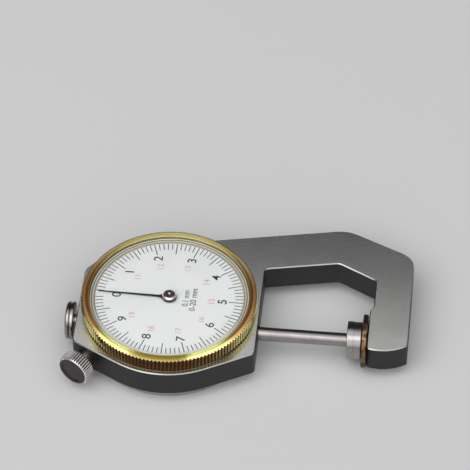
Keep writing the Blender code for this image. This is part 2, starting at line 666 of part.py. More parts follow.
def build_bezel(parent, looks):
    """The knurled bezel and what turns with it: crystal, ring, dial and retaining clip."""
    dial_low = DIAL_TOP - DIAL_THICKNESS
    clip_high = dial_low - STACK_GAP
    groove_low = dial_low - CLIP_GROOVE_WIDTH
    profile = [
        (BEZEL_FOOT_RADIUS, BEZEL_BOTTOM),
        (BEZEL_RADIUS - BEZEL_EDGE, BEZEL_BOTTOM),
        (BEZEL_RADIUS, BEZEL_BOTTOM + BEZEL_EDGE),
        (BEZEL_RADIUS, BEZEL_TOP - BEZEL_EDGE * 2),
        (BEZEL_RADIUS - BEZEL_EDGE, BEZEL_TOP),
        (BEZEL_LIP_RADIUS, BEZEL_TOP),
        (BEZEL_LIP_RADIUS, LIP_BOTTOM),
        (BEZEL_BORE_RADIUS, LIP_BOTTOM),
        (BEZEL_BORE_RADIUS, dial_low),
        (BEZEL_BORE_RADIUS + CLIP_GROOVE_DEPTH, dial_low),
        (BEZEL_BORE_RADIUS + CLIP_GROOVE_DEPTH, groove_low),
        (BEZEL_BORE_RADIUS, groove_low),
        (BEZEL_BORE_RADIUS, BEZEL_BOTTOM + BEZEL_FOOT_HEIGHT),
        (BEZEL_FOOT_RADIUS, BEZEL_BOTTOM + BEZEL_FOOT_HEIGHT),
    ]
    segments = BEZEL_KNURL_RIDGES * 2
    bezel = turned("bezel", profile, segments, BEZEL_RADIUS, BEZEL_KNURL_DEPTH)
    place("bezel", bezel, looks["gold"], parent)
    seat_radius = BEZEL_BORE_RADIUS - FIT_GAP
    dial = tube("dial", dial_low, DIAL_TOP, DIAL_HOLE_RADIUS, seat_radius, FINE_SEGMENTS)
    place("dial", dial, looks["dial"], parent)
    ring_profile = [
        (RING_INNER_RADIUS, RING_BOTTOM),
        (seat_radius, RING_BOTTOM),
        (seat_radius, RING_BOTTOM + RING_OUTER_HEIGHT),
        (BEZEL_LIP_RADIUS, RING_BOTTOM + RING_OUTER_HEIGHT),
        (RING_INNER_RADIUS, RING_BOTTOM + RING_INNER_HEIGHT),
    ]
    place("dial_ring", turned("dial_ring", ring_profile, FINE_SEGMENTS), looks["ring"], parent)
    rim_high = CRYSTAL_BOTTOM + CRYSTAL_THICKNESS
    dome_radius = seat_radius - CRYSTAL_RIM_WIDTH
    shares = [k / CRYSTAL_DOME_ROWS for k in range(CRYSTAL_DOME_ROWS + 1)]
    curve = [(dome_radius * share, CRYSTAL_DOME * (1 - share ** 2)) for share in shares]
    crystal_profile = [(radius, CRYSTAL_BOTTOM + rise) for radius, rise in curve]
    crystal_profile += [(seat_radius, CRYSTAL_BOTTOM), (seat_radius, rim_high)]
    crystal_profile += [(radius, rim_high + rise) for radius, rise in reversed(curve)]
    place("crystal", turned("crystal", crystal_profile, FINE_SEGMENTS), looks["clear"], parent)
    clip_outer = BEZEL_BORE_RADIUS + CLIP_GROOVE_DEPTH - FIT_GAP
    start, end = CLIP_OPEN_DEG / 2, 360 - CLIP_OPEN_DEG / 2
    clip_outline = arc((0, 0), clip_outer, start, end)
    clip_outline += arc((0, 0), BEZEL_BORE_RADIUS - CLIP_OVERHANG, end, start)
    clip = prism("dial_clip", clip_outline, clip_high - CLIP_THICKNESS, clip_high)
    place("dial_clip", clip, looks["steel"], parent)


def build_wire_ring(look):
    """The open wire ring between the frame's seat and the bezel's foot."""
    start, end = 180 + WIRE_RING_OPEN_DEG / 2, 540 - WIRE_RING_OPEN_DEG / 2
    points = [(x, y, WIRE_RING_Z) for x, y in arc((0, 0), WIRE_RING_RADIUS, start, end)]
    place("wire_ring", wire("wire_ring", points, WIRE_RING_WIRE), look)


def involute(angle):
    """The involute function, in radians."""
    return math.tan(angle) - angle


def gear_outline(teeth, pitch_radius, first_deg):
    """A gear's outline with involute flanks and a tooth centred at first_deg."""
    pressure = math.radians(PRESSURE_ANGLE_DEG)
    base = pitch_radius * math.cos(pressure)
    root = pitch_radius - TOOTH_DEDENDUM
    tip = pitch_radius + TOOTH_ADDENDUM
    half_at_pitch = (TOOTH_PITCH / 2 - TOOTH_PLAY) / 2 / pitch_radius

    def half_width(radius):
        roll = math.acos(min(1, base / radius))
        return half_at_pitch + involute(pressure) - involute(roll)

    flank = [(root, half_width(max(root, base)) * ROOT_WIDTH_SHARE)]
    flank += [(radius, half_width(radius)) for radius in (pitch_radius, tip)]
    points = []
    for tooth in range(teeth):
        middle = math.radians(first_deg) + 2 * math.pi * tooth / teeth
        for radius, half in flank:
            points.append((radius * math.cos(middle - half), radius * math.sin(middle - half)))
        for radius, half in reversed(flank):
            points.append((radius * math.cos(middle + half), radius * math.sin(middle + half)))
    return points


def rack_outline():
    """The rack seen from above, about the spindle's axis, its teeth towards +Y."""
    pitch_y = SPINDLE_OFFSET - PINION_PITCH_RADIUS
    tip_y = pitch_y + TOOTH_ADDENDUM
    root_y = pitch_y - TOOTH_DEDENDUM
    seat_y = SPINDLE_RADIUS - RACK_FLAT_DEPTH + FIT_GAP
    slope = math.tan(math.radians(PRESSURE_ANGLE_DEG))
    half = (TOOTH_PITCH / 2 - TOOTH_PLAY) / 2
    root_half = half + TOOTH_DEDENDUM * slope
    tip_half = half - TOOTH_ADDENDUM * slope
    start, end = rack_ends()
    points = [(start, seat_y), (end, seat_y), (end, root_y)]
    tooth_x = end - TOOTH_PITCH / 2
    while tooth_x > start:
        points += [(tooth_x + root_half, root_y), (tooth_x + tip_half, tip_y)]
        points += [(tooth_x - tip_half, tip_y), (tooth_x - root_half, root_y)]
        tooth_x -= TOOTH_PITCH
    points.append((start, root_y))
    return points


def rack_ends():
    """Where the rack starts and ends along the spindle with the jaws shut."""
    start = -(RACK_END_TEETH + 0.5) * TOOTH_PITCH
    teeth = 2 * RACK_END_TEETH + 1 + round(SPINDLE_TRAVEL / TOOTH_PITCH)
    return start, start + teeth * TOOTH_PITCH


def anvil_profile():
    """The moving anvil: two rings with a fine groove between, and the spindle's socket."""
    ring_end = ANVIL_BACK_X + ANVIL_RING_LENGTH
    front = ANVIL_RADIUS - ANVIL_STEP
    socket = SPINDLE_NOSE_RADIUS + FIT_GAP
    socket_end = ANVIL_BACK_X + SPINDLE_NOSE_LENGTH + FIT_GAP
    return [
        (socket, ANVIL_BACK_X),
        (ANVIL_RADIUS - ANVIL_EDGE, ANVIL_BACK_X),
        (ANVIL_RADIUS, ANVIL_BACK_X + ANVIL_EDGE),
        (ANVIL_RADIUS, ring_end),
        (ANVIL_RADIUS - ANVIL_GROOVE_DEPTH, ring_end),
        (ANVIL_RADIUS - ANVIL_GROOVE_DEPTH, ring_end + ANVIL_GROOVE_WIDTH),
        (front, ring_end + ANVIL_GROOVE_WIDTH),
        (front, ANVIL_FACE_X - ANVIL_EDGE),
        (front - ANVIL_EDGE, ANVIL_FACE_X),
        (0, ANVIL_FACE_X),
        (0, socket_end),
        (socket, socket_end),
    ]


def button_profile():
    """The pull button: a disc with a groove round its rim and a low dome on its end."""
    outer_x = BUTTON_FACE_X - BUTTON_THICKNESS
    groove_x = BUTTON_FACE_X - BUTTON_THICKNESS / 2
    socket = SPINDLE_NOSE_RADIUS + FIT_GAP
    socket_end = BUTTON_FACE_X - SPINDLE_NOSE_LENGTH - FIT_GAP
    profile = [
        (socket, BUTTON_FACE_X),
        (BUTTON_RADIUS - BUTTON_EDGE / 2, BUTTON_FACE_X),
        (BUTTON_RADIUS, BUTTON_FACE_X - BUTTON_EDGE / 2),
        (BUTTON_RADIUS, groove_x + BUTTON_GROOVE_WIDTH),
        (BUTTON_RADIUS - BUTTON_GROOVE_DEPTH, groove_x),
        (BUTTON_RADIUS, groove_x - BUTTON_GROOVE_WIDTH),
        (BUTTON_RADIUS, outer_x + BUTTON_EDGE),
        (BUTTON_RADIUS - BUTTON_EDGE, outer_x),
        (BUTTON_DOME_RADIUS + BUTTON_FACE_LAND, outer_x),
    ]
    for radius_share, rise_share in BUTTON_DOME_SHARES:
        profile.append((BUTTON_DOME_RADIUS * radius_share, outer_x - BUTTON_DOME_HEIGHT * rise_share))
    profile += [(0, socket_end), (socket, socket_end)]
    return profile


def build_spindle(parent, looks):
    """The spindle with its anvil, button, rack, screw, guide pin and spring peg."""
    left, right = BUTTON_FACE_X + FIT_GAP, ANVIL_BACK_X - FIT_GAP
    nose = SPINDLE_NOSE_LENGTH
    profile = [
        (0, left - nose),
        (SPINDLE_NOSE_RADIUS, left - nose),
        (SPINDLE_NOSE_RADIUS, left),
        (SPINDLE_RADIUS, left),
        (SPINDLE_RADIUS, right),
        (SPINDLE_NOSE_RADIUS, right),
        (SPINDLE_NOSE_RADIUS, right + nose),
        (0, right + nose),
    ]
    spindle = place("spindle", turned("spindle", profile, MEDIUM_SEGMENTS), looks["steel"], parent)
    flat_low, flat_high = rack_ends()
    flat_y = SPINDLE_RADIUS - RACK_FLAT_DEPTH
    reach = SPINDLE_RADIUS + OVERRUN
    margin = RACK_FLAT_MARGIN
    flat = box("flat", (-reach, flat_y, flat_low - margin), (reach, reach, flat_high + margin))
    cut(spindle, "rack_flat", flat, parent=parent)
    across = (-math.pi / 2, 0, 0)
    hole = rod("cross_hole", -reach, reach, RACK_SCREW_RADIUS + FIT_GAP)
    cut(spindle, "rack_screw_hole", hole, parent=parent, location=(0, 0, RACK_SCREW_X), rotation=across)
    cut(spindle, "spring_peg_hole", hole, parent=parent, location=(0, 0, SPRING_PEG_X), rotation=across)
    pin_hole = rod("pin_hole", SPINDLE_RADIUS - GUIDE_PIN_BITE, reach, GUIDE_PIN_RADIUS + FIT_GAP)
    down = (0, math.pi / 2, 0)
    pin_at = (0, 0, GUIDE_PIN_X)
    cut(spindle, "guide_pin_hole", pin_hole, parent=parent, location=pin_at, rotation=down)
    place("moving_anvil", turned("moving_anvil", anvil_profile(), MEDIUM_SEGMENTS), looks["steel"], parent)
    place("pull_button", turned("pull_button", button_profile(), MEDIUM_SEGMENTS), looks["steel"], parent)
    level = (0, -math.pi / 2, 0)
    rack_mesh = prism("rack", rack_outline(), -RACK_HEIGHT / 2, RACK_HEIGHT / 2)
    rack = place("rack", rack_mesh, looks["steel"], parent, rotation=level)
    seat_y = flat_y + FIT_GAP
    bite_end = seat_y + RACK_SCREW_BITE
    thread = rod("rack_thread", seat_y - OVERRUN, bite_end + FIT_GAP, RACK_SCREW_RADIUS + FIT_GAP)
    head_low = -SPINDLE_RADIUS - FIT_GAP - RACK_HEAD_HEIGHT
    head = (RACK_HEAD_RADIUS, RACK_HEAD_HEIGHT)
    screw = headed_pin("rack_screw", *head, RACK_SCREW_RADIUS, bite_end - head_low)
    peg_low = -RETURN_SPRING_OFFSET - RETURN_SPRING_RADIUS
    head = (SPRING_PEG_HEAD_RADIUS, SPRING_PEG_HEAD_HEIGHT)
    peg = headed_pin("spring_peg", *head, RACK_SCREW_RADIUS, bite_end - peg_low)
    for place_x, low, mesh in ((RACK_SCREW_X, head_low, screw), (SPRING_PEG_X, peg_low, peg)):
        cut(rack, f"{mesh.name}_thread", thread, parent=parent, location=(0, 0, place_x), rotation=across)
        place(mesh.name, mesh, looks["brass"], parent, (0, low, place_x), across)
    pin_low = SPINDLE_RADIUS - GUIDE_PIN_BITE + FIT_GAP
    pin_mesh = rod("guide_pin", pin_low, SPINDLE_Z - PLATE_BOTTOM, GUIDE_PIN_RADIUS)
    place("guide_pin", pin_mesh, looks["steel"], parent, pin_at, down)


def build_spindle_guides(looks):
    """What the frame holds on the spindle's axis: two bushes and the fixed anvil."""
    along_x = (0, math.pi / 2, 0)
    axis_at = (0, -SPINDLE_OFFSET, SPINDLE_Z)
    outer = BODY_HALF_WIDTH - BUSH_SETBACK
    bush = tube("bush", POCKET_RADIUS - BUSH_PROUD, outer, SPINDLE_RADIUS + RUN_GAP, BUSH_RADIUS)
    bush.materials.append(looks["brass"])
    place("right_bush", bush, location=axis_at, rotation=along_x)
    place("left_bush", bush, location=axis_at, rotation=(0, -math.pi / 2, 0))
    edge = FIXED_ANVIL_EDGE
    back = FIXED_FACE_X + FIXED_ANVIL_THICKNESS
    profile = [
        (0, FIXED_FACE_X),
        (FIXED_ANVIL_RADIUS - edge, FIXED_FACE_X),
        (FIXED_ANVIL_RADIUS, FIXED_FACE_X + edge),
        (FIXED_ANVIL_RADIUS, back - edge),
        (FIXED_ANVIL_RADIUS - edge, back),
        (FIXED_SHANK_RADIUS, back),
        (FIXED_SHANK_RADIUS, back + FIXED_SHANK_LENGTH),
        (0, back + FIXED_SHANK_LENGTH),
    ]
    anvil = turned("fixed_anvil", profile, MEDIUM_SEGMENTS)
    place("fixed_anvil", anvil, looks["bronze"], location=axis_at, rotation=along_x)


def build_centre(parent, looks):
    """The centre arbor with its pinion, the pointer and the pointer's domed boss."""
    pivot_low = PLATE_TOP + FIT_GAP - PIVOT_LENGTH
    pointer_low = DIAL_TOP + POINTER_LIFT
    pointer_high = pointer_low + POINTER_THICKNESS
    arbor_top = pointer_high + BOSS_BORE_DEPTH
    profile = [
        (0, pivot_low),
        (PIVOT_RADIUS, pivot_low),
        (PIVOT_RADIUS, PLATE_TOP + LOWER_BUSH_HEIGHT / 2),
        (ARBOR_RADIUS, PLATE_TOP + LOWER_BUSH_HEIGHT / 2),
        (ARBOR_RADIUS, arbor_top),
        (0, arbor_top),
    ]
    arbor = place("centre_arbor", turned("centre_arbor", profile, SMALL_SEGMENTS), looks["steel"], parent)
    gap_at_rack = 180 / PINION_TEETH - 90
    outline = gear_outline(PINION_TEETH, PINION_PITCH_RADIUS, gap_at_rack)
    pinion = prism("pinion", outline, PINION_BOTTOM, PINION_TOP)
    join(arbor, "pinion", pinion, parent=parent)
    hub_deg = math.degrees(math.asin(POINTER_ROOT_WIDTH / 2 / POINTER_HUB_RADIUS))
    outline = arc((0, 0), POINTER_HUB_RADIUS, hub_deg - 180, 180 - hub_deg)
    outline += [(-POINTER_LENGTH, POINTER_TIP_WIDTH / 2), (-POINTER_LENGTH, -POINTER_TIP_WIDTH / 2)]
    pointer = place("pointer", prism("pointer", outline, pointer_low, pointer_high), looks["black"], parent)
    hole = rod("pointer_hole", pointer_low - OVERRUN, pointer_high + OVERRUN, ARBOR_RADIUS + FIT_GAP)
    cut(pointer, "pointer_hole", hole, parent=parent)
    low = pointer_high + STACK_GAP
    bore = ARBOR_RADIUS + FIT_GAP
    boss_profile = [(bore, low), (BOSS_RADIUS, low)]
    for k in range(BOSS_DOME_ROWS):
        angle = math.pi / 2 * k / BOSS_DOME_ROWS
        rise = BOSS_RIM + (BOSS_HEIGHT - BOSS_RIM) * math.sin(angle)
        boss_profile.append((BOSS_RADIUS * math.cos(angle), low + rise))
    bore_top = arbor_top + STACK_GAP
    boss_profile += [(0, low + BOSS_HEIGHT), (0, bore_top), (bore, bore_top)]
    place("pointer_boss", turned("pointer_boss", boss_profile, SMALL_SEGMENTS), looks["dark"], parent)


def build_centre_bushes(look):
    """The two bushes that the centre arbor turns in."""
    flange_low = FRAME_TOP + FIT_GAP
    bore = ARBOR_RADIUS + RUN_GAP
    profile = [
        (bore, WEB_BOTTOM),
        (UPPER_BUSH_RADIUS, WEB_BOTTOM),
        (UPPER_BUSH_RADIUS, flange_low),
        (UPPER_BUSH_FLANGE, flange_low),
        (UPPER_BUSH_FLANGE, flange_low + UPPER_BUSH_FLANGE_HEIGHT),
        (bore, flange_low + UPPER_BUSH_FLANGE_HEIGHT),
    ]
    place("upper_bush", turned("upper_bush", profile, SMALL_SEGMENTS), look)
    low = PLATE_BOTTOM - FIT_GAP
    lower = tube("lower_bush", low, low + LOWER_BUSH_HEIGHT, PIVOT_RADIUS + RUN_GAP, LOWER_BUSH_RADIUS)
    place("lower_bush", lower, look)


def build_plate(looks):
    """The movement plate, the pillars that carry it and their screws."""
    radius = POCKET_RADIUS - PLATE_MARGIN
    disc = rod("movement_plate", PLATE_BOTTOM, PLATE_TOP, radius, MEDIUM_SEGMENTS)
    plate = place("movement_plate", disc, looks["brass"])
    below, above = PLATE_BOTTOM - OVERRUN, PLATE_TOP + OVERRUN
    bush_hole = rod("lower_bush_hole", below, above, LOWER_BUSH_RADIUS + FIT_GAP)
    cut(plate, "lower_bush_hole", bush_hole)
    pivot_hole = rod("plate_pivot_hole", below, above, PIVOT_RADIUS + RUN_GAP)
    cut(plate, "plate_pivot_hole", pivot_hole, location=(0, TAKE_UP_Y, 0))
    reach = GUIDE_PIN_RADIUS + RUN_GAP
    slot_low = (GUIDE_PIN_X - SPINDLE_TRAVEL - reach, -SPINDLE_OFFSET - reach, below)
    slot_high = (GUIDE_PIN_X + reach, -SPINDLE_OFFSET + reach, above)
    cut(plate, "guide_slot", box("guide_slot", slot_low, slot_high))
    stud_place = (*hairspring_stud_place(), 0)
    stud_hole = rod("stud_hole", below, above, STUD_RADIUS + FIT_GAP)
    cut(plate, "stud_hole", stud_hole, location=stud_place)
    hole = rod("plate_screw_hole", below, above, PLATE_SCREW_RADIUS + FIT_GAP)
    bore = PLATE_SCREW_RADIUS + FIT_GAP
    pillar = tube("pillar", PLATE_TOP + FIT_GAP, WEB_BOTTOM - FIT_GAP, bore, PILLAR_RADIUS)
    pillar.materials.append(looks["brass"])
    head_low = PLATE_BOTTOM - FIT_GAP - PLATE_HEAD_HEIGHT
    length = WEB_BOTTOM + PLATE_SCREW_BITE - head_low
    screw = headed_pin("plate_screw", PLATE_HEAD_RADIUS, PLATE_HEAD_HEIGHT, PLATE_SCREW_RADIUS, length)
    screw.materials.append(looks["steel"])
    slot = screw_slot("plate_screw_slot", PLATE_HEAD_RADIUS)
    for number, angle in enumerate(PILLAR_ANGLES_DEG, 1):
        x, y = polar(PILLAR_CIRCLE, angle)
        cut(plate, f"plate_hole_{number}", hole, location=(x, y, 0))
        place(f"pillar_{number}", pillar, location=(x, y, 0))
        piece = place(f"plate_screw_{number}", screw, location=(x, y, head_low))
        cut(piece, f"plate_screw_slot_{number}", slot, location=(x, y, head_low))


def collet_radius():
    """Outer radius of the hairspring's collet."""
    return TAKE_UP_ARBOR_RADIUS + FIT_GAP + COLLET_WALL


def hairspring_radius(turns):
    """Distance of the hairspring's blade from its arbor's axis after so many turns."""
    return collet_radius() + FIT_GAP + HAIRSPRING_BLADE / 2 + HAIRSPRING_STEP * turns


def hairspring_stud_place():
    """The stud stands just outside the hairspring's outer end."""
    distance = hairspring_radius(HAIRSPRING_TURNS) + HAIRSPRING_BLADE / 2 + FIT_GAP + STUD_RADIUS
    return distance, TAKE_UP_Y


def build_take_up(parent, looks):
    """The take-up gear on its arbor, with the hairspring's collet."""
    pivot_low = PLATE_BOTTOM
    pivot_high = WEB_BOTTOM + TAKE_UP_PIVOT_BITE
    profile = [
        (0, pivot_low),
        (PIVOT_RADIUS, pivot_low),
        (PIVOT_RADIUS, PLATE_TOP + RUN_GAP),
        (TAKE_UP_ARBOR_RADIUS, PLATE_TOP + RUN_GAP),
        (TAKE_UP_ARBOR_RADIUS, WEB_BOTTOM - RUN_GAP),
        (PIVOT_RADIUS, WEB_BOTTOM - RUN_GAP),
        (PIVOT_RADIUS, pivot_high),
        (0, pivot_high),
    ]
    gear = place("take_up_gear", turned("take_up_gear", profile, SMALL_SEGMENTS), looks["brass"], parent)
    outline = gear_outline(TAKE_UP_TEETH, TAKE_UP_PITCH_RADIUS, -90)
    wheel = prism("take_up_wheel", outline, PINION_TOP - GEAR_THICKNESS, PINION_TOP)
    join(gear, "take_up_wheel", wheel, parent=parent)
    low = hairspring_low() - (COLLET_HEIGHT - HAIRSPRING_HEIGHT) / 2
    bore = TAKE_UP_ARBOR_RADIUS + FIT_GAP
    collet = tube("hairspring_collet", low, low + COLLET_HEIGHT, bore, collet_radius())
    place("hairspring_collet", collet, looks["brass"], parent)


def hairspring_low():
    """Lower edge of the hairspring's blade, half way between the plate and the gear."""
    middle = (PLATE_TOP + PINION_TOP - GEAR_THICKNESS) / 2
    return middle - HAIRSPRING_HEIGHT / 2


def build_hairspring(looks):
    """The flat hairspring, wound about the take-up arbor, and the stud of its outer end."""
    count = HAIRSPRING_TURNS * HAIRSPRING_TURN_POINTS
    inner, outer = [], []
    for k in range(count + 1):
        turns = k / HAIRSPRING_TURN_POINTS
        radius = hairspring_radius(turns)
        inner.append(polar(radius - HAIRSPRING_BLADE / 2, 360 * turns))
        outer.append(polar(radius + HAIRSPRING_BLADE / 2, 360 * turns))
    low = hairspring_low()
    blade = prism("hairspring", outer + inner[::-1], low, low + HAIRSPRING_HEIGHT)
    place("hairspring", blade, looks["blue"], location=(0, TAKE_UP_Y, 0))
    stud = rod("hairspring_stud", PLATE_BOTTOM, low + HAIRSPRING_HEIGHT, STUD_RADIUS)
    place("hairspring_stud", stud, looks["steel"], location=(*hairspring_stud_place(), 0))


def build_return_spring(looks):
    """The coiled extension spring between the spindle's peg and its post in the frame."""
    clear = RETURN_SPRING_WIRE + FIT_GAP
    start = SPRING_PEG_X + RACK_SCREW_RADIUS + clear
    end = SPRING_POST_X - SPRING_POST_RADIUS - clear
    count = RETURN_SPRING_TURNS * RETURN_SPRING_TURN_POINTS
    radius = RETURN_SPRING_RADIUS - RETURN_SPRING_WIRE
    points = []
    for k in range(count + 1):
        across, up = polar(radius, 360 * k / RETURN_SPRING_TURN_POINTS)
        points.append((start + (end - start) * k / count, SPRING_Y + across, SPINDLE_Z + up))
    place("return_spring", wire("return_spring", points, RETURN_SPRING_WIRE), looks["steel"])
    low = SPINDLE_Z - SPRING_POST_DROP
    post = rod("spring_post", low, WEB_BOTTOM + SPRING_POST_BITE, SPRING_POST_RADIUS)
    place("spring_post", post, looks["steel"], location=(SPRING_POST_X, SPRING_Y, 0))


def build_lock(looks):
    """The lock screw with its pad, and the sleeve that they run in."""
    centre, outward_deg, reach = lock_axis_place()
    turn = (0, math.pi / 2, math.radians(outward_deg))
    feed_axis = axis_empty("lock_feed_axis", centre, turn)
    pad_low = clear_of_spindle(LOCK_SCREW_RADIUS, outward_deg) + LOCK_TOUCH + LOCK_FEED
    pad = rod("lock_pad", pad_low, pad_low + LOCK_PAD_LENGTH, LOCK_SCREW_RADIUS)
    place("lock_pad", pad, looks["brass"], feed_axis)
    sleeve_low = clear_of_spindle(LOCK_SLEEVE_RADIUS, outward_deg) + RUN_GAP
    sleeve_high = reach + LOCK_NECK_LENGTH
    bore = LOCK_SCREW_RADIUS + RUN_GAP
    sleeve = tube("lock_sleeve", sleeve_low, sleeve_high, bore, LOCK_SLEEVE_RADIUS)
    place("lock_sleeve", sleeve, looks["sleeve"], location=centre, rotation=turn)
    screw_low = pad_low + LOCK_PAD_LENGTH + FIT_GAP
    head_low = sleeve_high + LOCK_FEED + RUN_GAP
    head_high = head_low + LOCK_HEAD_LENGTH
    edge = LOCK_HEAD_EDGE
    head_inner = LOCK_HEAD_RADIUS - edge
    profile = [
        (0, screw_low),
        (LOCK_SCREW_RADIUS, screw_low),
        (LOCK_SCREW_RADIUS, head_low),
        (head_inner, head_low),
        (LOCK_HEAD_RADIUS, head_low + edge),
        (LOCK_HEAD_RADIUS, head_high - edge),
        (head_inner, head_high),
        (LOCK_DISH_RADIUS, head_high),
        (LOCK_DISH_RADIUS - LOCK_DISH_DEPTH, head_high - LOCK_DISH_DEPTH),
        (0, head_high - LOCK_DISH_DEPTH),
    ]
    screw = turned("lock_screw", profile, LOCK_KNURL_RIDGES * 2, LOCK_HEAD_RADIUS, LOCK_KNURL_DEPTH)
    turn_axis = axis_empty("lock_turn_axis", (0, 0, 0))
    turn_axis.parent = feed_axis
    place("lock_screw", screw, looks["steel"], turn_axis)


def main():
    """Clear the scene and build the gauge, sub-assembly by sub-assembly."""
    for old in list(bpy.data.objects):
        bpy.data.objects.remove(old, do_unlink=True)
    looks = {
        "frame": finish("satin_grey", (0.36, 0.36, 0.35), 0.7, 0.42),
        "gold": finish("polished_gold", (0.78, 0.6, 0.24), 1, 0.22),
        "ring": finish("pale_champagne", (0.72, 0.66, 0.55), 0.8, 0.3),
        "dial": finish("dial_white", (0.78, 0.78, 0.78), 0, 0.5),
        "clear": finish("crystal_clear", (0.9, 0.92, 0.92), 0, 0.05),
        "steel": finish("polished_steel", (0.62, 0.6, 0.6), 1, 0.2),
        "bronze": finish("browned_steel", (0.36, 0.26, 0.19), 0.9, 0.35),
        "brass": finish("movement_brass", (0.7, 0.53, 0.25), 1, 0.35),
        "blue": finish("blued_steel", (0.08, 0.12, 0.35), 1, 0.3),
        "black": finish("pointer_black", (0.02, 0.02, 0.02), 0, 0.4),
        "dark": finish("boss_dark", (0.16, 0.15, 0.15), 0.9, 0.18),
        "sleeve": finish("sleeve_grey", (0.4, 0.39, 0.38), 0.9, 0.35),
        "cover": finish("cover_grey", (0.45, 0.45, 0.45), 0.8, 0.4),
    }
    build_frame(looks["frame"])
    build_back_cover(looks["cover"], looks["steel"])
    build_spindle_guides(looks)
    build_centre_bushes(looks["brass"])
    build_plate(looks)
    build_hairspring(looks)
    build_return_spring(looks)
    build_lock(looks)
    build_wire_ring(looks["steel"])
    spindle_axis = axis_empty("spindle_axis", (0, -SPINDLE_OFFSET, SPINDLE_Z), (0, math.pi / 2, 0))
    build_spindle(spindle_axis, looks)
    pointer_axis = axis_empty("pointer_axis", (0, 0, 0))
    build_centre(pointer_axis, looks)
    take_up_axis = axis_empty("take_up_axis", (0, TAKE_UP_Y, 0))
    build_take_up(take_up_axis, looks)
    bezel_axis = axis_empty("bezel_axis", (0, 0, 0))
    build_bezel(bezel_axis, looks)


main()
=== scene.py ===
"""Dial thickness gauge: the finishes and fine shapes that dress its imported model.

Everything is in metres. The dial faces +Z, the spindle runs along X and the back cover lies on z = 0.
"""

import logging
import math
from collections.abc import Callable, Mapping, Sequence
from dataclasses import dataclass
from enum import Enum

import bmesh
import bpy
from mathutils import Matrix, Vector


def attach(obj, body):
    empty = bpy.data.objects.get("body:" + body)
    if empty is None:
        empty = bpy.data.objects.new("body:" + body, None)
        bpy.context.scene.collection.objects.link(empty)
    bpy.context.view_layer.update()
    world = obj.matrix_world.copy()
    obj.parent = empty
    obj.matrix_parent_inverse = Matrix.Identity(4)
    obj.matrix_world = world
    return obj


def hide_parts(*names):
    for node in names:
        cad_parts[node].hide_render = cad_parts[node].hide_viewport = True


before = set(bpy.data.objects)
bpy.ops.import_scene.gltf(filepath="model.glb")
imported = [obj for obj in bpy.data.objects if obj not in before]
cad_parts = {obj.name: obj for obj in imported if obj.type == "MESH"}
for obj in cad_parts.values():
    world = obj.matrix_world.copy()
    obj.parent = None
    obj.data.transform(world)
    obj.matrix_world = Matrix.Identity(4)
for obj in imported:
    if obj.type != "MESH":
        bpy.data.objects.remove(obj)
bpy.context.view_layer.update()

LOG = logging.getLogger("thickness_gauge")

Material = bpy.types.Material
Mesh = bpy.types.Mesh
Node = bpy.types.Node
Piece = bpy.types.Object
Shape = bmesh.types.BMesh
Socket = bpy.types.NodeSocket

Colour = tuple[float, float, float]
Place = tuple[float, float, float]
Point = tuple[float, float]
# A corner's two coordinates, and how far from it its rounding starts.
Corner = tuple[float, float, float]
# Where a smooth change starts and where it is complete.
Ends = tuple[float, float]
# Colours along a value: each one's place, red, green and blue.
Stops = tuple[tuple[float, float, float, float], ...]
Feeds = Mapping[str | int, object]
# Gives a section's points of radius and height for how far up its depth a rib stands.
Section = Callable[[float], list[Point]]

FULL_TURN = 2 * math.pi
# The steps of a rounding, and how far beside it, in roundings, a point holds the flat side's shading.
EASE_STEPS = 4
HOLD_SHARE = 0.3
SMOOTH_ANGLE = math.radians(32)
MERGE_REACH = 1e-6

# Between these strengths lies most of one noise pattern, and of two that are added up.
NOISE_ENDS = (0.3, 0.7)
PAIR_ENDS = (0.6, 1.4)
PATCH_ENDS = (0.35, 0.7)
GRAIN_DETAIL = 3
PATCH_DETAIL = 4
# How much the height counts beside the radius where turned rings climb a wall.
RING_CLIMB = 0.83


class Lay(Enum):
    """How the marks of a tool lie on a metal surface."""

    BLASTED = "even grain"
    TURNED = "rings about an axis"


@dataclass(frozen=True)
class Axis:
    """A straight line that turned pieces share."""

    place: Place
    direction: Place

    def turn(self) -> Matrix:
        """Returns the turn from +Z to the line's direction."""
        return Vector((0, 0, 1)).rotation_difference(Vector(self.direction)).to_matrix().to_4x4()

    def matrix(self) -> Matrix:
        """Returns the turn and shift from the line's own space, where it is +Z."""
        return Matrix.Translation(Vector(self.place)) @ self.turn()


DIAL_AXIS = Axis((0, 0, 0), (0, 0, 1))
SPINDLE_AXIS = Axis((0, -0.0055, 0.00935), (1, 0, 0))
BUTTON_AXIS = Axis((0, -0.0055, 0.00935), (-1, 0, 0))
LOCK_AXIS = Axis((-0.0173745, -0.0055, 0.00935), (-0.465253, -0.885177, 0))


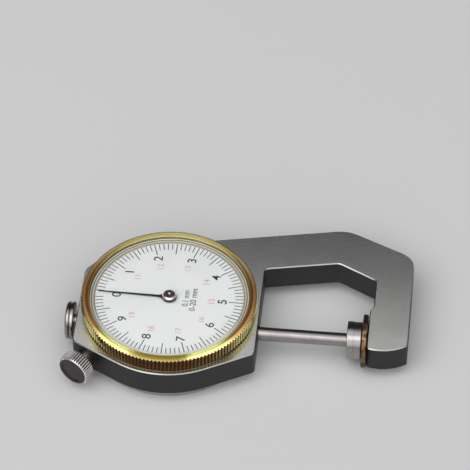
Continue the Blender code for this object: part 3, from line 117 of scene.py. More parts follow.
class NodeGraph:
    """A node tree built by short calls."""

    def __init__(self, tree: bpy.types.NodeTree) -> None:
        """Keeps the tree to build in."""
        self.tree = tree

    def feed(self, node: Node, feeds: Feeds) -> None:
        """Sets or links a node's inputs.

        Args:
            node: the node.
            feeds: a value, a colour or another node's output for each input, by name or number.
        """
        for key, value in feeds.items():
            socket = node.inputs[key]
            if isinstance(value, Socket):
                self.tree.links.new(value, socket)
            else:
                socket.default_value = (*value, 1) if socket.type == "RGBA" else value

    def add(self, kind: str, feeds: Feeds | None = None, **settings: object) -> Node:
        """Adds one node.

        Args:
            kind: the node's type.
            feeds: what goes into its inputs.
            settings: the node's own properties.

        Returns:
            The node.
        """
        node = self.tree.nodes.new(kind)
        for key, value in settings.items():
            setattr(node, key, value)
        self.feed(node, feeds or {})
        return node

    def out(self, kind: str, feeds: Feeds | None = None, **settings: object) -> Socket:
        """Adds one node and returns its first output."""
        return self.add(kind, feeds, **settings).outputs[0]

    def math(self, operation: str, *values: object) -> Socket:
        """Adds a Math node on the values, in order, and returns its result."""
        return self.out("ShaderNodeMath", dict(enumerate(values)), operation=operation)

    def xyz(self, x: object = 0, y: object = 0, z: object = 0) -> Socket:
        """Returns a vector of three numbers."""
        return self.out("ShaderNodeCombineXYZ", {0: x, 1: y, 2: z})

    def dot(self, vector: Socket, direction: Place) -> Socket:
        """Returns how far a vector reaches in a direction."""
        feeds = {0: vector, 1: tuple(Vector(direction).normalized())}
        return self.add("ShaderNodeVectorMath", feeds, operation="DOT_PRODUCT").outputs["Value"]

    def span(self, value: Socket, low: float, high: float, to_low: object = 0, to_high: object = 1) -> Socket:
        """Maps the range from low to high smoothly onto another, and holds the result beyond its ends."""
        feeds = dict(enumerate((value, low, high, to_low, to_high)))
        return self.out("ShaderNodeMapRange", feeds, interpolation_type="SMOOTHSTEP")


class SurfaceGraph(NodeGraph):
    """A material's node tree, with the patterns that the finishes share."""

    def __init__(self, name: str, axis: Axis = DIAL_AXIS) -> None:
        """Makes a material whose patterns read the piece's own coordinates.

        Args:
            name: the material's name.
            axis: the line that the patterns centre on.
        """
        self.material = bpy.data.materials.new(name)
        self.material.use_nodes = True
        super().__init__(self.material.node_tree)
        self.shader = self.tree.nodes["Principled BSDF"]
        raw = self.add("ShaderNodeTexCoord").outputs["Object"]
        feeds = {"Vector": raw, "Location": axis.place, "Rotation": tuple(axis.turn().to_euler())}
        self.local = self.out("ShaderNodeMapping", feeds, vector_type="TEXTURE")
        self.x, self.y, self.along = self.add("ShaderNodeSeparateXYZ", {0: self.local}).outputs
        self.out_from_axis = self.xyz(self.x, self.y)
        length = self.add("ShaderNodeVectorMath", {0: self.out_from_axis}, operation="LENGTH")
        self.radius = length.outputs["Value"]

    def outward(self) -> Socket:
        """Finds the direction straight out from the axis, across a turning tool's rings.

        Returns:
            The direction, in the world's space.
        """
        spaces = {"vector_type": "VECTOR", "convert_from": "OBJECT", "convert_to": "WORLD"}
        turned = self.out("ShaderNodeVectorTransform", {0: self.out_from_axis}, **spaces)
        return self.out("ShaderNodeVectorMath", {0: turned}, operation="NORMALIZE")

    def facing(self, axis: Axis) -> Socket:
        """Returns how squarely the surface faces along a line, from 0 to 1."""
        normal = self.add("ShaderNodeNewGeometry").outputs["Normal"]
        return self.math("ABSOLUTE", self.dot(normal, axis.direction))

    def noise(self, pitch: float, detail: float = 2, place: Socket | None = None) -> Socket:
        """Adds a cloudy pattern of spots, on the piece's own coordinates where no others are given."""
        feeds = {"Vector": self.local if place is None else place, "Scale": 1 / pitch, "Detail": detail}
        return self.out("ShaderNodeTexNoise", feeds)

    def rings(self, pitch: float) -> Socket:
        """Adds rings about the axis, as a turning tool leaves them.

        Args:
            pitch: their width.

        Returns:
            Their strength.
        """
        step = self.math("ADD", self.radius, self.math("MULTIPLY", self.along, RING_CLIMB))
        feeds = {"W": step, "Scale": 1 / pitch, "Detail": 2.0}
        return self.out("ShaderNodeTexNoise", feeds, noise_dimensions="1D")

    def patches(self, size: float, ends: Ends = PATCH_ENDS) -> Socket:
        """Adds soft patches of a size, from none at all to full between the pattern's two ends."""
        return self.span(self.noise(size, PATCH_DETAIL), *ends)

    def around(self, pattern: Socket, middle: float, spread: float, ends: Ends = NOISE_ENDS) -> Socket:
        """Varies a number about its middle, by the spread each way, between a pattern's two ends."""
        return self.span(pattern, *ends, middle - spread, middle + spread)

    def mix(self, share: Socket, first: object, second: object) -> Socket:
        """Mixes two numbers by the second one's share."""
        return self.out("ShaderNodeMix", {0: share, 2: first, 3: second})

    def blend(self, share: Socket, first: object, second: object) -> Socket:
        """Mixes two colours by the second one's share."""
        return self.add("ShaderNodeMix", {0: share, 6: first, 7: second}, data_type="RGBA").outputs[2]

    def scaled(self, colour: Socket, factor: Socket) -> Socket:
        """Multiplies a colour by a number."""
        return self.out("ShaderNodeVectorMath", {0: colour, 3: factor}, operation="SCALE")

    def ramp(self, value: Socket, stops: Stops) -> Socket:
        """Adds a colour that changes along a value.

        Args:
            value: what the colours lie along, from 0 to 1.
            stops: the colours, in order.

        Returns:
            The colour.
        """
        node = self.add("ShaderNodeValToRGB", {0: value})
        node.color_ramp.interpolation = "EASE"
        elements = node.color_ramp.elements
        elements.remove(elements[1])
        elements[0].position = stops[0][0]
        elements[0].color = (*stops[0][1:], 1)
        for place, *colour in stops[1:]:
            elements.new(place).color = (*colour, 1)
        return node.outputs[0]

    def bump(self, height: Socket, depth: float) -> Socket:
        """Returns the normal of a surface on which a pattern stands up by a depth."""
        return self.out("ShaderNodeBump", {"Height": height, "Distance": depth, "Strength": 1.0})

    def finish(self, **values: object) -> Material:
        """Feeds the shader, with underscores for spaces in its inputs' names, and returns the material."""
        self.feed(self.shader, {key.replace("_", " "): value for key, value in values.items()})
        return self.material


@dataclass(frozen=True)
class MetalFinish:
    """A bare metal surface: its colour, its darker patches and the marks of its tool."""

    name: str
    colour: Colour
    stain: Colour
    roughness: float
    spread: float
    lay: Lay
    pitch: float
    depth: float
    patch: float
    patch_ends: Ends = (0.35, 0.75)
    rough_ends: Ends = (0.3, 1.3)

    def material(self, axis: Axis = DIAL_AXIS) -> Material:
        """Builds the finish.

        Args:
            axis: the line that turned marks lie about.

        Returns:
            The material.
        """
        graph = SurfaceGraph(self.name, axis)
        turned = self.lay is Lay.TURNED
        marks = graph.rings(self.pitch) if turned else graph.noise(self.pitch, GRAIN_DETAIL)
        patches = graph.patches(self.patch, self.patch_ends)
        worn = graph.math("ADD", marks, patches)
        rough = graph.around(worn, self.roughness, self.spread, self.rough_ends)
        base = graph.blend(patches, self.colour, self.stain)
        bump = graph.bump(marks, self.depth)
        return graph.finish(Base_Color=base, Metallic=1.0, Roughness=rough, Normal=bump)


@dataclass(frozen=True)
class FrameFinish:
    """The frame's light alloy: ground faces, bright machined edges, and rougher walls painted near black as
    painted shade.
    """

    name: str = "frame_ground_alloy"
    face: Colour = (0.47, 0.468, 0.46)
    face_stain: Colour = (0.43, 0.43, 0.425)
    edge: Colour = (0.42, 0.42, 0.41)
    # Painted shade: the walls' near-black colour stands in for the shade and dark reflections on them.
    wall: Colour = (0.06, 0.06, 0.06)
    edge_ends: Ends = (0.3, 0.5)
    face_ends: Ends = (0.86, 0.96)
    face_roughness: float = 0.27
    edge_roughness: float = 0.24
    wall_roughness: float = 0.46
    rough_spread: float = 0.006
    shade_spread: float = 0.018
    grain: float = 0.0002
    grain_depth: float = 2e-7
    streak: float = 0.0002
    streak_slowing: float = 0.02
    patch: float = 0.012

    def material(self) -> Material:
        """Builds the finish.

        Returns:
            The material.
        """
        graph = SurfaceGraph(self.name)
        upright = graph.facing(DIAL_AXIS)
        is_edge, is_face = graph.span(upright, *self.edge_ends), graph.span(upright, *self.face_ends)
        grain = graph.noise(self.grain, GRAIN_DETAIL)
        stretched = graph.xyz(graph.math("MULTIPLY", graph.x, self.streak_slowing), graph.y, graph.along)
        marks = graph.math("ADD", grain, graph.noise(self.streak, place=stretched))
        face = graph.blend(graph.patches(self.patch), self.face, self.face_stain)
        # The walls, which face sideways, take the painted shade colour.
        mixed = graph.blend(is_face, graph.blend(is_edge, self.wall, self.edge), face)
        base = graph.scaled(mixed, graph.around(marks, 1, self.shade_spread, PAIR_ENDS))
        worn = graph.mix(is_edge, self.wall_roughness, self.edge_roughness)
        rough = graph.mix(is_face, worn, self.face_roughness)
        varied = graph.math("ADD", rough, graph.around(marks, 0, self.rough_spread, PAIR_ENDS))
        bump = graph.bump(grain, self.grain_depth)
        return graph.finish(Base_Color=base, Metallic=1.0, Roughness=varied, Normal=bump)


@dataclass(frozen=True)
class RibbedFinish:
    """A turned piece's finish by zone: its flat face, its rounded edges, and its ribs from valley to crest.

    The stops run from the piece's back, at 0, to its front, at 1, and paint the highlights, reflections and
    shade that fall differently at its front, sides and back: bright edges, crests and tips are painted
    highlights, dark valleys, walls and the lip line painted shade. The pointer's cap has no ribs: there, the
    valley's colour is that of the pit and the crest's that of the wall.
    """

    name: str
    face: Stops
    edge: Stops
    valley: Stops
    crest: Stops
    valley_radius: float
    crest_radius: float
    face_roughness: float
    rib_roughness: float
    rough_spread: float = 0.04
    rib_metallic: float = 1.0
    side_metallic: float = 1.0
    anisotropy: float = 0.0
    side_ends: Ends = (0.55, 0.95)
    side_sway: float = 0.12
    stop_sway: float = 0.01
    face_ends: Ends = (0.9, 0.97)
    edge_ends: Ends = (0.25, 0.45)
    edge_from: float = 0.84
    edge_whole: float = 0.9
    pitch: float = 0.00022
    depth: float = 1.2e-6
    patch: float = 0.007
    streak: float = 0.0
    side_streak: float = 0.0
    streak_pitch: float = 0.001
    streak_ends: Ends = (0.35, 0.65)
    tip_glint: Stops = ()
    tip_radius: float = 0.0
    tip_width: float = 0.0001
    lip_shadow: Stops = ()
    lip_radius: float = 0.0
    lip_width: float = 0.0003

    def material(self, axis: Axis = DIAL_AXIS) -> Material:
        """Builds the finish.

        Args:
            axis: the line that the piece is turned about.

        Returns:
            The material.
        """
        graph = SurfaceGraph(self.name, axis)
        radius, facing = graph.radius, graph.facing(axis)
        marks, clouds = graph.rings(self.pitch), graph.noise(self.patch, PATCH_DETAIL)
        sideways = graph.math("DIVIDE", graph.math("ABSOLUTE", graph.x), radius)
        swayed = graph.math("ADD", sideways, graph.around(clouds, 0, self.side_sway))
        is_side = graph.span(swayed, *self.side_ends)
        # The stops run along this, from back to front, so that the colours paint the reflections that differ
        # round the piece.
        backward = graph.math("DIVIDE", graph.math("MULTIPLY", graph.y, 0.5), radius)
        ahead = graph.math("SUBTRACT", graph.around(clouds, 0.5, self.stop_sway), backward)

        swing = graph.span(is_side, 0, 1, self.streak, self.side_streak)
        tones = graph.math("SUBTRACT", 1.0, swing), graph.math("ADD", 1.0, swing)
        tone = graph.span(graph.rings(self.streak_pitch), *self.streak_ends, *tones)
        face = graph.scaled(graph.ramp(ahead, self.face), tone)
        valley, crest = graph.ramp(ahead, self.valley), graph.ramp(ahead, self.crest)
        rib = graph.blend(graph.span(radius, self.valley_radius, self.crest_radius), valley, crest)
        edge = graph.ramp(ahead, self.edge)
        # A painted glint on the crest tips.
        if self.tip_glint:
            near_tip = graph.span(radius, self.tip_radius, self.tip_radius + self.tip_width)
            edge = graph.blend(near_tip, edge, graph.ramp(ahead, self.tip_glint))

        inner, outer = self.valley_radius * self.edge_from, self.valley_radius * self.edge_whole
        rim = graph.span(radius, inner, outer)
        is_edge = graph.math("MULTIPLY", graph.span(facing, *self.edge_ends), rim)
        is_face = graph.span(facing, *self.face_ends)
        # Painted light by facing: the face, the edges' painted highlight, and the ribs' painted shade in the
        # valleys and painted highlight on the crests.
        base = graph.blend(is_face, graph.blend(is_edge, rib, edge), face)
        # A painted shadow line under the lip.
        if self.lip_shadow:
            in_lip_shadow = graph.span(radius, self.lip_radius, self.lip_radius + self.lip_width, 1, 0)
            base = graph.blend(in_lip_shadow, base, graph.ramp(ahead, self.lip_shadow))
        # The face's sides are less metallic, so that their painted brown shows as a painted reflection under
        # the lamps.
        face_metallic = graph.span(is_side, 0, 1, 1, self.side_metallic)
        metallic = graph.mix(is_face, self.rib_metallic, face_metallic)
        worn = graph.mix(is_face, self.rib_roughness, self.face_roughness)
        rough = graph.math("ADD", worn, graph.around(marks, 0, self.rough_spread))
        if self.anisotropy:
            graph.finish(Anisotropic=self.anisotropy, Tangent=graph.outward())
        bump = graph.bump(marks, self.depth)
        return graph.finish(Base_Color=base, Metallic=metallic, Roughness=rough, Normal=bump)


@dataclass(frozen=True)
class RingFinish:
    """The dial ring's satin coat, with painted shade lines along its steps and under the lip's edge, and
    painted light at its front.
    """

    name: str = "champagne_ring_painted_light"
    inner: Colour = (0.6, 0.56, 0.45)
    outer: Colour = (0.85, 0.81, 0.66)
    # The painted shade lines: their colour, then each one's radius and strength; the last, at the lip's edge,
    # is the lip's painted shadow and the others darken the ring's two grooves.
    line: Colour = (0.05, 0.04, 0.025)
    lines: tuple[Point, ...] = ((0.02505, 0.55), (0.026, 0.85), (0.02672, 1.0))
    line_core: float = 0.00008
    half_line: float = 0.0003
    change_radius: float = 0.0258
    # Painted light: the front is paler and its lines weaker, as if more light fell there.
    painted_front_light: Colour = (0.95, 0.93, 0.88)
    near_ends: Ends = (0.2, 0.8)
    near_line: float = 0.3
    metallic: float = 0.25
    roughness: float = 0.3
    spread: float = 0.06
    pitch: float = 0.00012
    depth: float = 5e-7

    def material(self) -> Material:
        """Builds the finish, with painted light that makes it paler at the front and its painted shade lines
        weaker there.

        Returns:
            The material.
        """
        graph = SurfaceGraph(self.name)
        marks = graph.rings(self.pitch)
        low, high = self.change_radius - self.half_line, self.change_radius + self.half_line
        plain = graph.blend(graph.span(graph.radius, low, high), self.inner, self.outer)
        ahead = graph.math("DIVIDE", graph.y, graph.math("MULTIPLY", graph.radius, -1.0))
        in_front_light = graph.span(ahead, *self.near_ends)
        base = graph.blend(in_front_light, plain, self.painted_front_light)
        weaker = graph.span(in_front_light, 0, 1, 1, self.near_line)
        for middle, strength in self.lines:
            away = graph.math("ABSOLUTE", graph.math("SUBTRACT", graph.radius, middle))
            shown = graph.span(away, self.line_core, self.half_line, strength, 0)
            base = graph.blend(graph.math("MULTIPLY", shown, weaker), base, self.line)
        rough, bump = graph.around(marks, self.roughness, self.spread), graph.bump(marks, self.depth)
        return graph.finish(Base_Color=base, Metallic=self.metallic, Roughness=rough, Normal=bump)


@dataclass(frozen=True)
class PaintFinish:
    """A coat of paint or printing ink with a faint orange peel."""

    name: str
    colour: Colour
    fade: Colour
    roughness: float
    patch: float = 0.004
    peel: float = 0.0004
    peel_depth: float = 4e-7
    spread: float = 0.04

    def material(self) -> Material:
        """Builds the finish.

        Returns:
            The material.
        """
        graph = SurfaceGraph(self.name)
        peel = graph.noise(self.peel)
        rough, bump = graph.around(peel, self.roughness, self.spread), graph.bump(peel, self.peel_depth)
        base = graph.blend(graph.patches(self.patch), self.colour, self.fade)
        return graph.finish(Base_Color=base, Roughness=rough, Normal=bump)


@dataclass(frozen=True)
class GlassFinish:
    """Clear glass that lets the lamps through to what lies behind it."""

    name: str = "clear_crystal"
    colour: Colour = (0.99, 1.0, 0.995)
    refraction: float = 1.45
    reflection: float = 0.25
    least_haze: float = 0.0036
    haze: float = 0.012
    smear: float = 0.01
    smear_ends: Ends = (0.35, 0.75)

    def material(self) -> Material:
        """Builds the finish.

        Returns:
            The material.
        """
        graph = SurfaceGraph(self.name)
        smear = graph.noise(self.smear, GRAIN_DETAIL)
        rough = graph.span(smear, *self.smear_ends, self.least_haze, self.haze)
        material = graph.finish(
            Base_Color=self.colour, Roughness=rough, IOR=self.refraction, Transmission_Weight=1.0,
            Specular_IOR_Level=self.reflection,
        )
        shadow = graph.add("ShaderNodeLightPath").outputs["Is Shadow Ray"]
        clear = graph.out("ShaderNodeBsdfTransparent", {0: self.colour})
        mixed = graph.out("ShaderNodeMixShader", {0: shadow, 1: graph.shader.outputs[0], 2: clear})
        graph.feed(graph.tree.nodes["Material Output"], {"Surface": mixed})
        return material


def flat(red: float, green: float, blue: float) -> Stops:
    """Returns the stops of a single colour."""
    return ((0.0, red, green, blue),)


# Painted light: the stops paint the gilt's reflections, bright at the front and back and brown at the sides,
# with painted highlights on the crests and their tips, painted shade in the knurl's valleys and a painted
# shadow line under the lip.
GOLD = RibbedFinish(
    "turned_gilt_painted_light",
    face=(
        (0.05, 0.58, 0.51, 0.21), (0.2, 0.47, 0.35, 0.15), (0.4, 0.32, 0.155, 0.052),
        (0.62, 0.32, 0.155, 0.052), (0.78, 0.44, 0.27, 0.085), (0.9, 1.0, 0.98, 0.34),
        (0.955, 1.0, 0.98, 0.34), (0.982, 0.26, 0.19, 0.034),
    ),
    edge=(
        (0.1, 0.35, 0.28, 0.13), (0.4, 0.16, 0.08, 0.035), (0.6, 0.16, 0.08, 0.035),
        (0.78, 0.33, 0.25, 0.1), (0.92, 0.62, 0.57, 0.3), (0.982, 0.44, 0.38, 0.18),
    ),
    valley=((0.74, 0.3, 0.24, 0.09), (0.86, 0.07, 0.03, 0.009), (0.94, 0.045, 0.016, 0.004)),
    crest=(
        (0.4, 0.8, 0.7, 0.34), (0.76, 0.95, 0.88, 0.36), (0.87, 0.42, 0.31, 0.11),
        (0.93, 0.24, 0.14, 0.045), (0.985, 0.13, 0.045, 0.01),
    ),
    valley_radius=0.02908, crest_radius=0.02936, face_roughness=0.38, rib_roughness=0.2,
    side_metallic=0.72, anisotropy=0.85, streak=0.16, side_streak=0.6,
    lip_shadow=(
        (0.1, 0.4, 0.35, 0.15), (0.35, 0.06, 0.035, 0.014), (0.8, 0.06, 0.035, 0.014),
        (0.97, 0.14, 0.1, 0.04),
    ),
    lip_radius=0.0267,
    tip_glint=((0.2, 0.3, 0.24, 0.12), (0.42, 0.85, 0.66, 0.45), (0.85, 1.0, 0.96, 0.78), (0.982, 0.5, 0.45, 0.25)),
    tip_radius=0.02912,
)
# Painted light: a dark end face and dark valleys as painted shade and reflection, bright rounded edges and
# crests as painted highlights.
KNOB_STEEL = RibbedFinish(
    "knob_steel_painted_light", face=flat(0.075, 0.058, 0.064), edge=flat(0.8, 0.77, 0.77),
    valley=flat(0.03, 0.024, 0.026), crest=flat(0.92, 0.89, 0.88), valley_radius=0.00534,
    crest_radius=0.00566, face_roughness=0.26, rib_roughness=0.2, rib_metallic=0.6,
)
# Painted light: a reddish painted reflection on the top, painted highlights in the pit and on the rounded
# edge, and painted shade on the side wall.
CAP_STEEL = RibbedFinish(
    "cap_steel_painted_light", face=flat(0.8, 0.62, 0.62), edge=flat(0.95, 0.93, 0.92),
    valley=flat(0.7, 0.62, 0.62), crest=flat(0.1, 0.08, 0.08), valley_radius=0.0019, crest_radius=0.0022,
    face_roughness=0.13, rib_roughness=0.1, pitch=0.00012, depth=2e-7, patch=0.001,
)
POLISHED = MetalFinish(
    "polished_steel", (0.38, 0.36, 0.36), (0.3, 0.265, 0.265), 0.17, 0.05, Lay.TURNED, 0.00018, 1e-6, 0.007
)
ROD_STEEL = MetalFinish(
    "ground_rod_steel", (0.35, 0.33, 0.33), (0.28, 0.25, 0.25), 0.2, 0.05, Lay.TURNED, 0.0002, 8e-7, 0.01
)
SLEEVE_STEEL = MetalFinish(
    "turned_neck_steel", (0.42, 0.4, 0.39), (0.28, 0.26, 0.25), 0.3, 0.06, Lay.TURNED, 0.00025, 1.5e-6, 0.003
)
COVER_ALLOY = MetalFinish(
    "cover_satin_alloy", (0.5, 0.5, 0.5), (0.42, 0.42, 0.42), 0.36, 0.06, Lay.TURNED, 0.0004, 2e-6, 0.012
)
BROWNED = MetalFinish(
    "browned_steel", (0.24, 0.155, 0.085), (0.08, 0.042, 0.025), 0.36, 0.08, Lay.BLASTED, 0.0003, 2.5e-6,
    0.0016, patch_ends=(0.4, 0.6),
)
BRASS = MetalFinish(
    "turned_brass", (0.72, 0.5, 0.2), (0.56, 0.36, 0.13), 0.28, 0.06, Lay.BLASTED, 0.0003, 1.5e-6, 0.004
)
SCREW_STEEL = MetalFinish(
    "screw_steel", (0.56, 0.55, 0.54), (0.4, 0.38, 0.37), 0.28, 0.06, Lay.BLASTED, 0.0002, 1.2e-6, 0.002
)
BLUED = MetalFinish(
    "blued_spring_steel", (0.07, 0.11, 0.34), (0.12, 0.07, 0.22), 0.26, 0.05, Lay.BLASTED, 0.0003, 8e-7, 0.003
)
DIAL_WHITE = PaintFinish("dial_satin_white", (0.86, 0.86, 0.865), (0.83, 0.83, 0.835), 0.42, patch=0.012)
INK_BLACK = PaintFinish("ink_black", (0.035, 0.035, 0.04), (0.06, 0.06, 0.065), 0.5)
INK_FINE = PaintFinish("ink_division_grey", (0.03, 0.03, 0.033), (0.05, 0.05, 0.053), 0.5)
INK_GREY = PaintFinish("ink_legend_grey", (0.07, 0.068, 0.068), (0.13, 0.125, 0.125), 0.5)
INK_RED = PaintFinish("ink_faded_red", (0.72, 0.42, 0.43), (0.76, 0.55, 0.56), 0.5)
POINTER_BLACK = PaintFinish("pointer_black", (0.012, 0.012, 0.013), (0.02, 0.02, 0.02), 0.34, patch=0.002)
FLOOR_PAPER = PaintFinish("floor_paper", (0.7, 0.7, 0.7), (0.6895, 0.6895, 0.6895), 0.85, patch=0.4)
CHAMPAGNE = RingFinish()
CRYSTAL_GLASS = GlassFinish()
FRAME_ALLOY = FrameFinish()


def eased(corners: Sequence[Corner], closed: bool = False) -> list[Point]:
    """Rounds an outline's corners.

    Args:
        corners: the corners.
        closed: whether the last corner joins the first.

    Returns:
        The rounded outline.
    """
    outline: list[Point] = []
    count = len(corners)
    steps = [step / EASE_STEPS for step in range(EASE_STEPS + 1)]
    for index, (x, y, setback) in enumerate(corners):
        if setback == 0 or (not closed and index in (0, count - 1)):
            outline.append((x, y))
            continue
        corner = Vector((x, y))
        sides = corners[index - 1], corners[(index + 1) % count]
        before, after = (Vector(side[:2]) for side in sides)
        start, end = (corner + (far - corner).normalized() * setback for far in (before, after))
        arc = [start.lerp(corner, step).lerp(corner.lerp(end, step), step) for step in steps]
        if (before - corner).length - setback - sides[0][2] > setback:
            arc.insert(0, start.lerp(before, HOLD_SHARE * setback / (before - start).length))
        if (after - corner).length - setback - sides[1][2] > setback:
            arc.append(end.lerp(after, HOLD_SHARE * setback / (after - end).length))
        outline += [(point.x, point.y) for point in arc]
    return outline


def finished_mesh(name: str, shape: Shape, smooth: bool = True) -> Mesh:
    """Turns a worked shape into a mesh with its doubles merged and its faces outwards.

    Args:
        name: the mesh's name.
        shape: the shape, which is freed.
        smooth: whether its gentle edges are shaded smooth.

    Returns:
        The mesh.
    """
    bmesh.ops.remove_doubles(shape, verts=shape.verts, dist=MERGE_REACH)
    bmesh.ops.recalc_face_normals(shape, faces=shape.faces)
    mesh = bpy.data.meshes.new(name)
    shape.to_mesh(mesh)
    shape.free()
    if "custom_normal" in mesh.attributes:
        mesh.attributes.remove(mesh.attributes["custom_normal"])
    if smooth:
        mesh.shade_smooth()
        mesh.set_sharp_from_angle(angle=SMOOTH_ANGLE)
    return mesh


def turned_mesh(name: str, outline: Sequence[Point], segments: int, axis: Axis, closed: bool = False) -> Mesh:
    """Turns an outline of radius and height about an axis.

    Args:
        name: the mesh's name.
        outline: the points, each a radius and a height along the axis.
        segments: how many steps a full turn has.
        axis: the line it turns about.
        closed: whether the last point joins the first.

    Returns:
        The mesh.
    """
    shape = bmesh.new()
    angles = [FULL_TURN * i / segments for i in range(segments)]
    rings = []
    for radius, height in outline:
        if radius == 0:
            rings.append([shape.verts.new((0, 0, height))] * segments)
            continue
        rings.append([shape.verts.new((radius * math.cos(a), radius * math.sin(a), height)) for a in angles])
    pairs = list(zip(rings, rings[1:]))
    if closed:
        pairs.append((rings[-1], rings[0]))
    for low, high in pairs:
        for i in range(segments):
            j = (i + 1) % segments
            corners = list(dict.fromkeys((low[i], low[j], high[j], high[i])))
            if len(corners) > 2:
                shape.faces.new(corners)
    shape.transform(axis.matrix())
    return finished_mesh(name, shape)


def clean_copy(node: str, name: str) -> Mesh:
    """Copies a CAD node's mesh with its doubles merged and its round faces shaded smooth.

    Args:
        node: the CAD node.
        name: the copy's name.

    Returns:
        The mesh.
    """
    shape = bmesh.new()
    shape.from_mesh(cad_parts[node].data)
    return finished_mesh(name, shape)


def new_object(name: str, data: bpy.types.ID, material: Material | None = None) -> Piece:
    """Places a mesh, a lamp or the like in the scene.

    Args:
        name: the object's name.
        data: what it holds.
        material: the mesh's only material, where it gets one here.

    Returns:
        The object.
    """
    if material is not None:
        data.materials.clear()
        data.materials.append(material)
    piece = bpy.data.objects.new(name, data)
    bpy.context.scene.collection.objects.link(piece)
    return piece


def taken_mesh(piece: Piece) -> Mesh:
    """Takes an object's evaluated shape as a plain mesh and removes the object.

    Args:
        piece: the object.

    Returns:
        The mesh.
    """
    evaluated = piece.evaluated_get(bpy.context.evaluated_depsgraph_get())
    mesh = bpy.data.meshes.new_from_object(evaluated)
    piece.modifiers.clear()
    bpy.data.objects.remove(piece)
    return mesh


def settle(name: str, mesh: Mesh, material: Material, body: str, slot: str, *replaced: str) -> None:
    """Places a finished piece, hangs it on the body that carries it and hides the CAD nodes that it stands
    for.

    Args:
        name: the piece's name.
        mesh: its mesh.
        material: its material.
        body: the body that it moves with.
        slot: not used.
        replaced: the CAD nodes that it stands for.
    """
    piece = new_object(name, mesh, material)
    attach(piece, body)
    if replaced:
        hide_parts(*replaced)
    LOG.info("%s: %d faces on %s", name, len(mesh.polygons), body)


def dress(node: str, material: Material) -> None:
    """Gives a CAD node that stays its finish.

    Args:
        node: the CAD node.
        material: its material.
    """
    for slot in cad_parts[node].material_slots:
        slot.material = material
    LOG.info("%s: %s", node, material.name)


@dataclass(frozen=True)
class Turned:
    """A turned piece, from its section: each corner's radius, height along the axis and rounding."""

    name: str
    node: str
    body: str
    slot: str
    axis: Axis
    finish: MetalFinish | RibbedFinish
    corners: tuple[Corner, ...]
    segments: int = 96
    closed: bool = False

    def build(self) -> None:
        """Turns the section and settles the piece."""
        outline = eased(self.corners, self.closed)
        mesh = turned_mesh(self.name, outline, self.segments, self.axis, self.closed)
        settle(self.name, mesh, self.finish.material(self.axis), self.body, self.slot, self.node)


class ShapeGraph(NodeGraph):
    """A Geometry Nodes tree that is run once on a mesh."""

    def __init__(self, name: str, wholes: Sequence[str], sizes: Sequence[str] = ()) -> None:
        """Makes a tree whose inputs are a mesh, a material and named numbers.

        Args:
            name: the tree's name.
            wholes: the names of the inputs that are whole numbers.
            sizes: the names of the inputs that are lengths.
        """
        super().__init__(bpy.data.node_groups.new(name, "GeometryNodeTree"))
        kinds = {"Geometry": "NodeSocketGeometry", "Material": "NodeSocketMaterial"}
        kinds |= dict.fromkeys(wholes, "NodeSocketInt") | dict.fromkeys(sizes, "NodeSocketFloat")
        for label, kind in kinds.items():
            self.tree.interface.new_socket(label, in_out="INPUT", socket_type=kind)
        self.tree.interface.new_socket("Geometry", in_out="OUTPUT", socket_type=kinds["Geometry"])
        self.inputs = self.add("NodeGroupInput").outputs
        self.result = self.add("NodeGroupOutput")

    def end(self, count: Socket, shape: Socket, angle: Socket, kept: object = True) -> None:
        """Copies a shape round +Z, makes the copies real, joins them, gives them the material and ends.

        Args:
            count: how many copies there are.
            shape: the shape.
            angle: each copy's turn.
            kept: which copies are kept.
        """
        line = self.out("GeometryNodeMeshLine", {"Count": count, "Offset": (0, 0, 0)})
        feeds = {"Points": line, "Selection": kept, "Instance": shape, "Rotation": self.xyz(z=angle)}
        copies = self.out("GeometryNodeInstanceOnPoints", feeds)
        real = self.out("GeometryNodeRealizeInstances", {0: copies})
        joined = self.out("GeometryNodeMergeByDistance", {0: real, "Distance": MERGE_REACH})
        dressed = self.out("GeometryNodeSetMaterial", {0: joined, "Material": self.inputs["Material"]})
        self.feed(self.result, {0: dressed})

    def run(self, name: str, mesh: Mesh, values: Mapping[str, object]) -> Mesh:
        """Runs the tree on a mesh.

        Args:
            name: the result's name.
            mesh: the mesh that goes in.
            values: the value of each named input.

        Returns:
            The plain mesh that comes out.
        """
        piece = new_object(f"{name}_source", mesh)
        modifier = piece.modifiers.new("shape", "NODES")
        modifier.node_group = self.tree
        for item in self.tree.interface.items_tree:
            if item.in_out == "INPUT" and item.name in values:
                modifier[item.identifier] = values[item.name]
        result = taken_mesh(piece)
        result.name = name
        return result


class RoundPattern(ShapeGraph):
    """Copies the mesh that goes in round +Z at even steps."""

    def __init__(self) -> None:
        """Builds the tree."""
        super().__init__("round_pattern", ["Copies"])
        copies = self.inputs["Copies"]
        step = self.math("DIVIDE", FULL_TURN, copies)
        angle = self.math("MULTIPLY", self.out("GeometryNodeInputIndex"), step)
        self.end(copies, self.inputs["Geometry"], angle)


